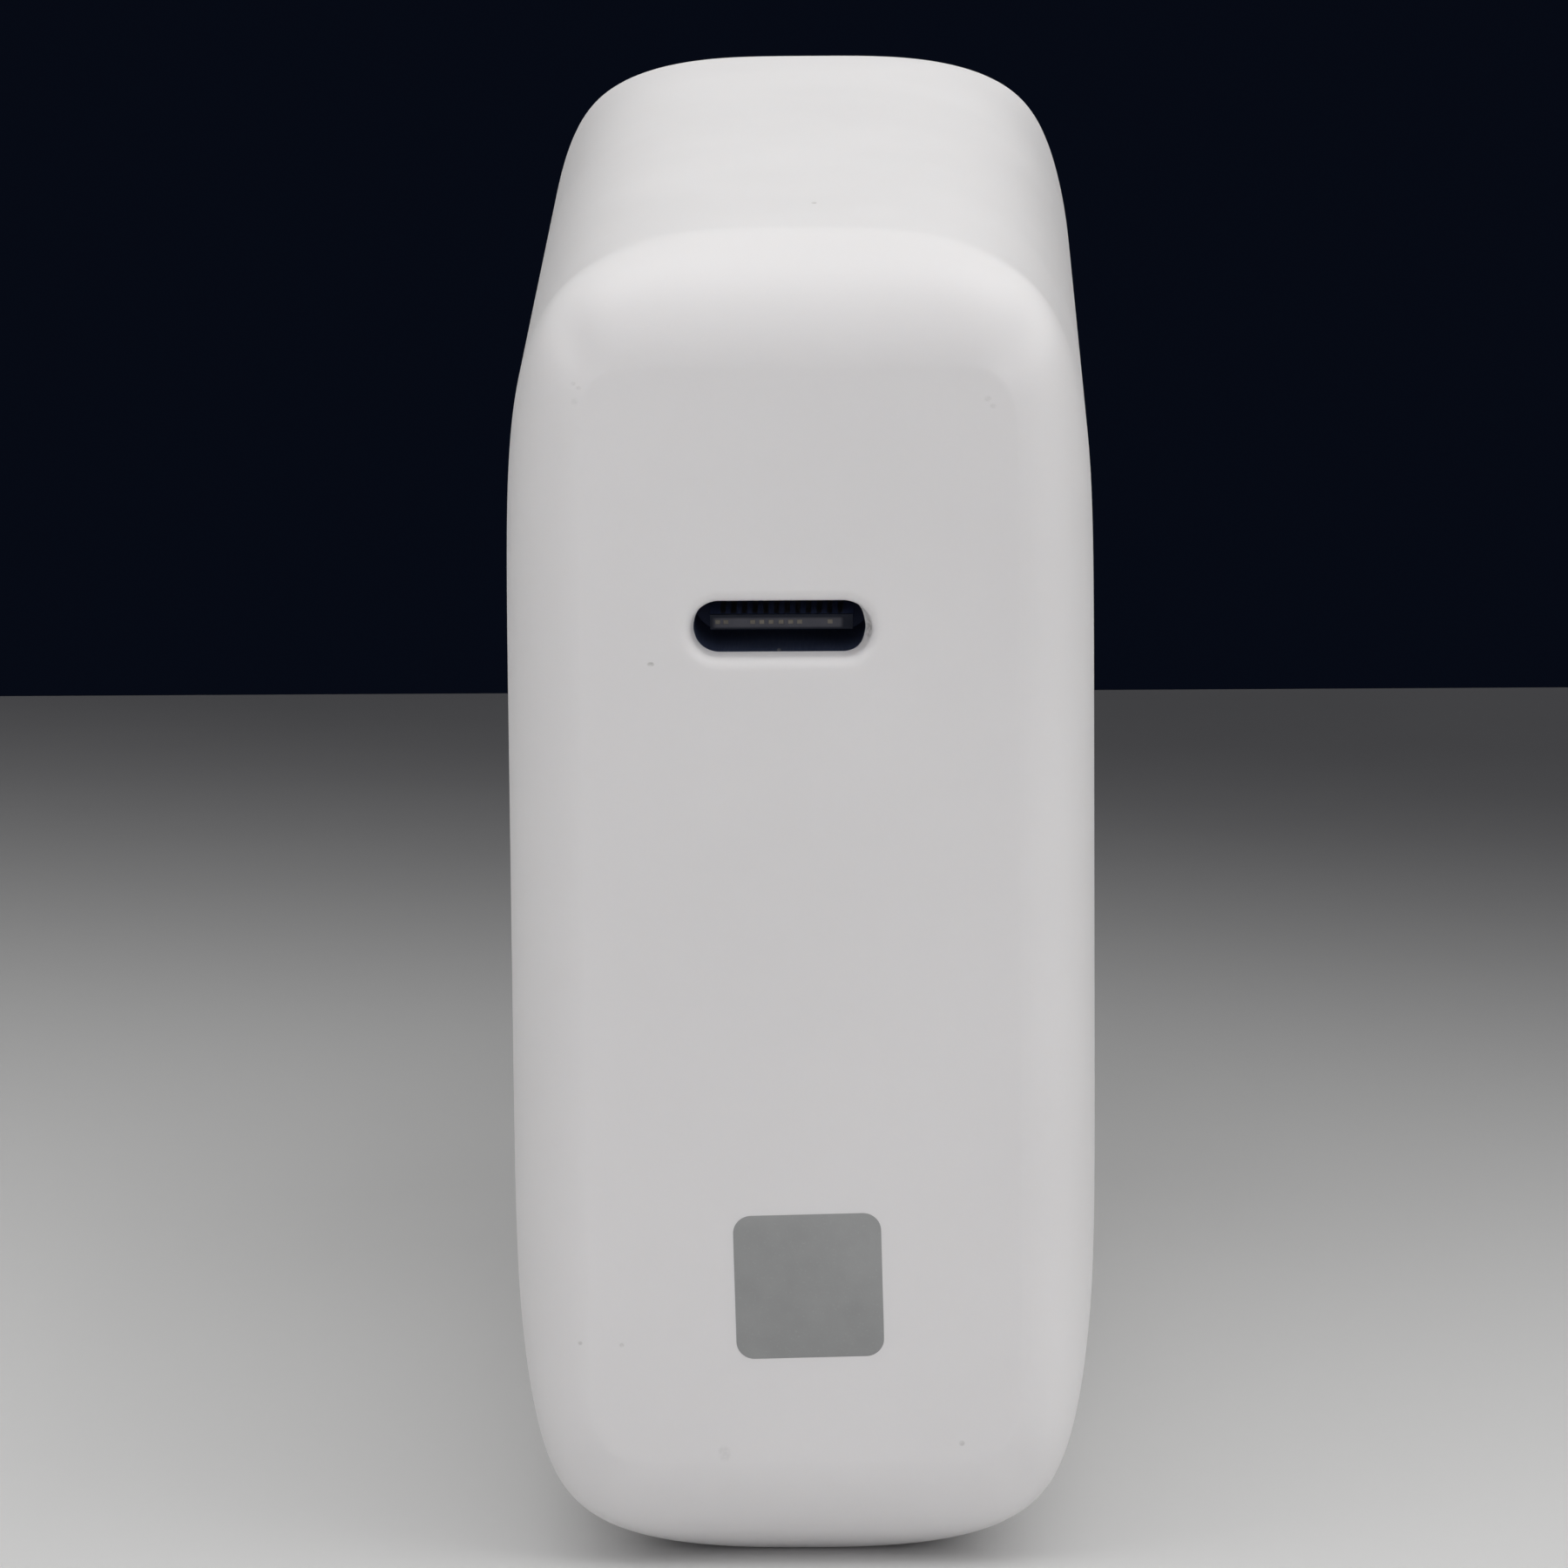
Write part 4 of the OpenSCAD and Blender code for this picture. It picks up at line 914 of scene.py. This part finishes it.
def plug_cover():
    """The cover's skin from the floor of the nose's hollow, over the lip, to the nose's face."""
    nose = nose_rings()
    rings = cover_inside_rings() + seam_lip(cover_ring, COVER_START, -1)[::-1]
    rings += [
        cover_ring(edge_outline(0, a), rear_edge_y(a)) for a in angles(COVER_START, QUARTER, EDGE_STEPS)
    ]
    rings += flat_rings(rings[-1], nose[0], COVER_SHARES) + nose
    shape = Shape()
    rows = shape.loft(rings)
    shape.cap(rows[0])
    close_nose(shape, rings[-1], rows[-1])
    return piece(shape.build("plug_cover_skin", materials["shell_white"]), "shell_white", "plug_cover")


# Plug pins and sleeves, as profiles of (radius, y) points about a pin's own line


def plug_pin(which, z):
    """A pin from its tail in the bracket, over the collar and under the sleeve, to its round tip."""
    node = f"pin_{which}"
    tail = node_box(node)[0].y
    core, root, full = SLEEVE_D / 2 - SLEEVE_T, PIN_ROOT_D / 2, PIN_D / 2
    collar, collar_end = COLLAR_D / 2, COLLAR_START + COLLAR_L
    bare = SLEEVE_END + SLEEVE_STEP
    profile = [(core - PIN_CHAMFER, tail), (core, tail + PIN_CHAMFER), (core, BACK_Y), (root, BACK_Y)]
    profile += [(root, COLLAR_START - COLLAR_CHAMFER), (collar, COLLAR_START)]
    profile += [(collar, collar_end), (root, collar_end + COLLAR_CHAMFER)]
    profile += [(root, SLEEVE_START), (core, SLEEVE_START), (core, SLEEVE_END)]
    profile += [(full - PIN_CHAMFER, bare), (full, bare + PIN_CHAMFER)]
    profile += [(full, PIN_TIP - PIN_TIP_R - TIP_HOLD)]
    profile += [
        (full - PIN_TIP_R * (1 - math.cos(a)), PIN_TIP - PIN_TIP_R * (1 - math.sin(a)))
        for a in angles(0, QUARTER, PIN_TIP_STEPS)
    ]
    profile += [(full - PIN_TIP_R - PIN_TIP_RIM, PIN_TIP)]
    shape = Shape()
    shape.closed_loft([circle(z, r, y) for r, y in profile])
    return piece(shape.build(f"plug_pin_{which}", materials["pin_metal"]), "pin_metal", node)


def pin_sleeve(which, z):
    """The insulating tube on a pin, with a soft outer edge at its end."""
    outer = SLEEVE_D / 2
    inner = outer - SLEEVE_T
    shoulder = SLEEVE_SOFT * CORNER_SHARE
    profile = [(inner, SLEEVE_START), (outer, SLEEVE_START), (outer, SLEEVE_END - SLEEVE_SOFT)]
    profile += [(outer - shoulder, SLEEVE_END - shoulder), (outer - SLEEVE_SOFT, SLEEVE_END)]
    profile += [(inner, SLEEVE_END)]
    shape = Shape()
    shape.loft([circle(z, r, y) for r, y in profile], loop=True)
    sleeve = shape.build(f"pin_sleeve_{which}", materials["sleeve_black"])
    return piece(sleeve, "sleeve_black", f"sleeve_{which}")


# Printed patch


def printed_patch():
    """A plain grey print, a hair's breadth thick, on the port face."""
    outline = rounded_square(PATCH_SIZE, PATCH_CORNER)
    inside = rounded_square(PATCH_SIZE - 2 * PATCH_SOFT, PATCH_CORNER - PATCH_SOFT)
    shape = Shape()
    shape.closed_loft([
        at_depth(outline, FRONT_Y + PATCH_PROUD),
        at_depth(outline, FRONT_Y - PATCH_PROUD / 2),
        at_depth(inside, FRONT_Y - PATCH_PROUD),
    ])
    return piece(shape.build("printed_patch", materials["printed_grey"]), "shell_white")


# Socket


def socket_ring(grow, y):
    """The socket's own opening, made wider by grow."""
    outline = dense_slot(PORT_W + 2 * grow, PORT_H + 2 * grow)
    return at_depth(spread(outline, PORT_MIDDLE, SOCKET_QUARTERS), y)


def socket_shell():
    """The drawn metal tube with a rolled mouth, and the four legs that hold it to its board."""
    soft = SOCKET_SOFT
    shoulder = soft * CORNER_SHARE
    shape = Shape()
    rings = [
        socket_ring(PORT_SHEET, PORT_BACK),
        socket_ring(PORT_SHEET, PORT_MOUTH + soft),
        socket_ring(PORT_SHEET - shoulder, PORT_MOUTH + shoulder),
        socket_ring(PORT_SHEET - soft, PORT_MOUTH),
        socket_ring(soft, PORT_MOUTH),
        socket_ring(shoulder, PORT_MOUTH + shoulder),
        socket_ring(0, PORT_MOUTH + soft),
        socket_ring(0, PORT_BACK),
    ]
    shape.loft(rings, loop=True)
    leg_z = (PORT_Z - PORT_H / 2 - PORT_SHEET - LEG_DROP, PORT_Z)
    for side in (-1, 1):
        x = PORT_X + side * (PORT_W + PORT_SHEET) / 2
        for y in LEG_Y:
            shape.block(span(x, PORT_SHEET), span(y, LEG_W), leg_z)
    return piece(shape.build("socket_shell", materials["port_steel"]), "port_steel", "usb_shell")


def contact_ends():
    """Dull ends of the power and data contacts, level with the tongue's tip."""
    y = (TONGUE_TIP - CONTACT_END_PROUD, TONGUE_TIP + CONTACT_END_D)
    shape = Shape()
    for x in CONTACT_END_X:
        shape.block(span(x, CONTACT_END_W), y, span(PORT_Z, CONTACT_END_H))
    ends = shape.build("contact_ends", materials["contact_gold"])
    soften(ends, CONTACT_END_PROUD)
    return piece(ends, "contact_gold")


# Nodes that keep their CAD shape, and how wide the soft edges of most of them are

EDGE_SIZES = {
    "usb_tongue": 0.15, "usb_contacts": 0.02, "usb_mid_plate": 0.02, "main_board": 0.05,
    "port_board": 0.05, "link_header": 0.1, "link_pins": 0.08, "x_capacitor": 0.25,
    "bridge_rectifier": 0.2, "bulk_capacitors": 0.08, "output_capacitors": 0.08,
    "filter_inductor": 0.2, "switch_transistor": 0.15, "heat_plate": 0.1, "plate_screw": 0.08,
    "transformer_core_lower": 0.15, "transformer_core_upper": 0.15, "bobbin": 0.1,
    "thermal_pad": 0.15, "insulation_sheet": 0.05, "contact_upper": 0.08, "contact_lower": 0.08,
    "fuse": 0.2, "choke_core": 0.3, "y_capacitor": 0.5, "surge_disc": 0.5, "optocoupler": 0.06,
    "controller_chip": 0.05, "rectifier_chip": 0.06, "power_delivery_chip": 0.06,
    "chip_capacitors": 0.05,
}


def soften(obj, width_mm):
    """Takes the knife edge off a piece's corners."""
    bevel = obj.modifiers.new("soft_edges", "BEVEL")
    bevel.width = width_mm * MM
    bevel.segments = 2
    bevel.limit_method = "ANGLE"
    bevel.angle_limit = math.radians(40)


def finish_nodes():
    """Gives every CAD node its slot's material, and soft edges to those in the list."""
    slots = {part["node"]: part["material_slot"] for part in frame["record"]["subparts"]}
    for name, obj in sorted(frame["nodes"].items()):
        obj.data.materials.clear()
        obj.data.materials.append(materials[slots[name]])
        if name in EDGE_SIZES:
            soften(obj, EDGE_SIZES[name])


# Camera, as the photograph was taken

# Focal length in the photograph's pixels. VIEW_RIGHT and VIEW_UP are how far the target lies right of
# and above the picture's middle.
PHOTO_WIDTH = 1800
FOCAL_PIXELS = 11744.3
SENSOR_MM = 36.0
VIEW_DISTANCE = 485.79
VIEW_PITCH = math.radians(12.335)
VIEW_YAW = math.radians(0.735)
VIEW_ROLL = math.radians(0.474)
VIEW_RIGHT = 0.841
VIEW_UP = -5.239
VIEW_TARGET = Vector((0, FRONT_RING_Y, MID_Z))


def camera():
    """A long lens in front of the port face, a little above it."""
    cos_yaw, sin_yaw = math.cos(VIEW_YAW), math.sin(VIEW_YAW)
    cos_pitch, sin_pitch = math.cos(VIEW_PITCH), math.sin(VIEW_PITCH)
    cos_roll, sin_roll = math.cos(VIEW_ROLL), math.sin(VIEW_ROLL)
    right = Vector((cos_yaw, sin_yaw, 0))
    up = Vector((-sin_yaw * sin_pitch, cos_yaw * sin_pitch, cos_pitch))
    ahead = Vector((-sin_yaw * cos_pitch, cos_yaw * cos_pitch, -sin_pitch))
    place = VIEW_TARGET - VIEW_RIGHT * right - VIEW_UP * up - VIEW_DISTANCE * ahead
    rolled_right = right * cos_roll - up * sin_roll
    rolled_up = right * sin_roll + up * cos_roll
    turn = Matrix((rolled_right, rolled_up, -ahead)).transposed().to_4x4()
    data = bpy.data.cameras.new("camera")
    data.sensor_width = SENSOR_MM
    data.lens = FOCAL_PIXELS * SENSOR_MM / PHOTO_WIDTH
    data.clip_start = 0.01
    data.clip_end = 20
    obj = bpy.data.objects.new("camera", data)
    obj.matrix_world = Matrix.Translation(place * MM) @ turn
    bpy.context.scene.collection.objects.link(obj)
    bpy.context.scene.camera = obj


# Stage and light

# The floor: how far it reaches, and where along Y its painted fall-off of light fades it to dark, on a
# line that slants with X
FLOOR_FAR = 172.0
FLOOR_NEAR = -1500.0
FLOOR_SIDE = 1500.0
FLOOR_T = 3.0
FADE_START = -45.0
FADE_END = 169.0
FADE_SLANT = 0.28
BACKDROP_COLOUR = (0.0021, 0.0032, 0.0072)

# Colours of the lights
WARM = (1.0, 0.995, 0.985)
COOL = (0.995, 0.98, 1.0)
WHITE = (1.0, 1.0, 1.0)

# Area lights: place, the point that they face, size, watts, colour
LIGHTS = {
    "overhead": ((0, 0, 1000), (0, 0, 0), (2400, 2400), 7.05, WARM),
    "high_right": ((1000, -100, 900), (0, 0, 0), (1400, 1400), 7.26, WARM),
    "high_left": ((-1000, -100, 900), (0, 0, 0), (1400, 1400), 3.95, WARM),
    "front": ((0, -1400, 480), (0, 0, 30), (2400, 800), 5.75, COOL),
    "low_right": ((900, -900, 300), (0, 0, 20), (900, 500), 0.47, COOL),
    "key": ((0, -100, 600), (0, 0, 40), (520, 420), 1.1, WARM),
    "rear": ((0, 1300, 700), (0, 0, 30), (2400, 600), 3.6, WHITE),
}


def table_top():
    """Pale table top with a painted fall-off of light: its colour fades to dark towards its far edge.
    """
    finish = Finish("table_top", roughness=0.5, specular=0.3)
    x, y, _ = finish.coordinates()
    along = finish.combine("ADD", y, finish.combine("MULTIPLY", x, FADE_SLANT))
    # painted fall-off of light, darker towards the far edge
    far = finish.ramp(along, FADE_START * MM, FADE_END * MM, 0, 1, smooth=True)
    colour = finish.colours(far, (0.70, 0.70, 0.697), (0.012, 0.012, 0.016))
    uneven = finish.gloss(finish.noise(30), 0.48, 0.54)
    return finish.done(colour, uneven, finish.bump(finish.noise(0.6), 0.1, 0.02))


def stage():
    """The floor, a plain slab whose top is level with the charger's foot."""
    shape = Shape()
    shape.block((-FLOOR_SIDE, FLOOR_SIDE), (FLOOR_NEAR, FLOOR_FAR), (-FLOOR_T, 0))
    shape.build("table_top", table_top())


def area_light(name, place, target, size, power, colour):
    data = bpy.data.lights.new(name, "AREA")
    data.shape = "RECTANGLE"
    data.size, data.size_y = (s * MM for s in size)
    data.energy = power
    data.color = colour
    turn = (Vector(target) - Vector(place)).to_track_quat("-Z", "Y").to_matrix().to_4x4()
    obj = bpy.data.objects.new(name, data)
    obj.matrix_world = Matrix.Translation(Vector(place) * MM) @ turn
    bpy.context.scene.collection.objects.link(obj)


def surroundings():
    """Large soft lights all round, as in a small light tent, and a nearly black backdrop."""
    for name, values in LIGHTS.items():
        area_light(name, *values)
    world = bpy.data.worlds.new("world")
    world.use_nodes = True
    world.node_tree.nodes["Background"].inputs["Color"].default_value = (*BACKDROP_COLOUR, 1)
    bpy.context.scene.world = world
    view = bpy.context.scene.view_settings
    view.view_transform = "Standard"
    view.look = "None"


camera()
finish_nodes()
housing_shell()
plug_cover()
for pin, pin_z in PIN_Z.items():
    plug_pin(pin, pin_z)
for pin, pin_z in PIN_Z.items():
    pin_sleeve(pin, pin_z)
printed_patch()
socket_shell()
contact_ends()
stage()
surroundings()
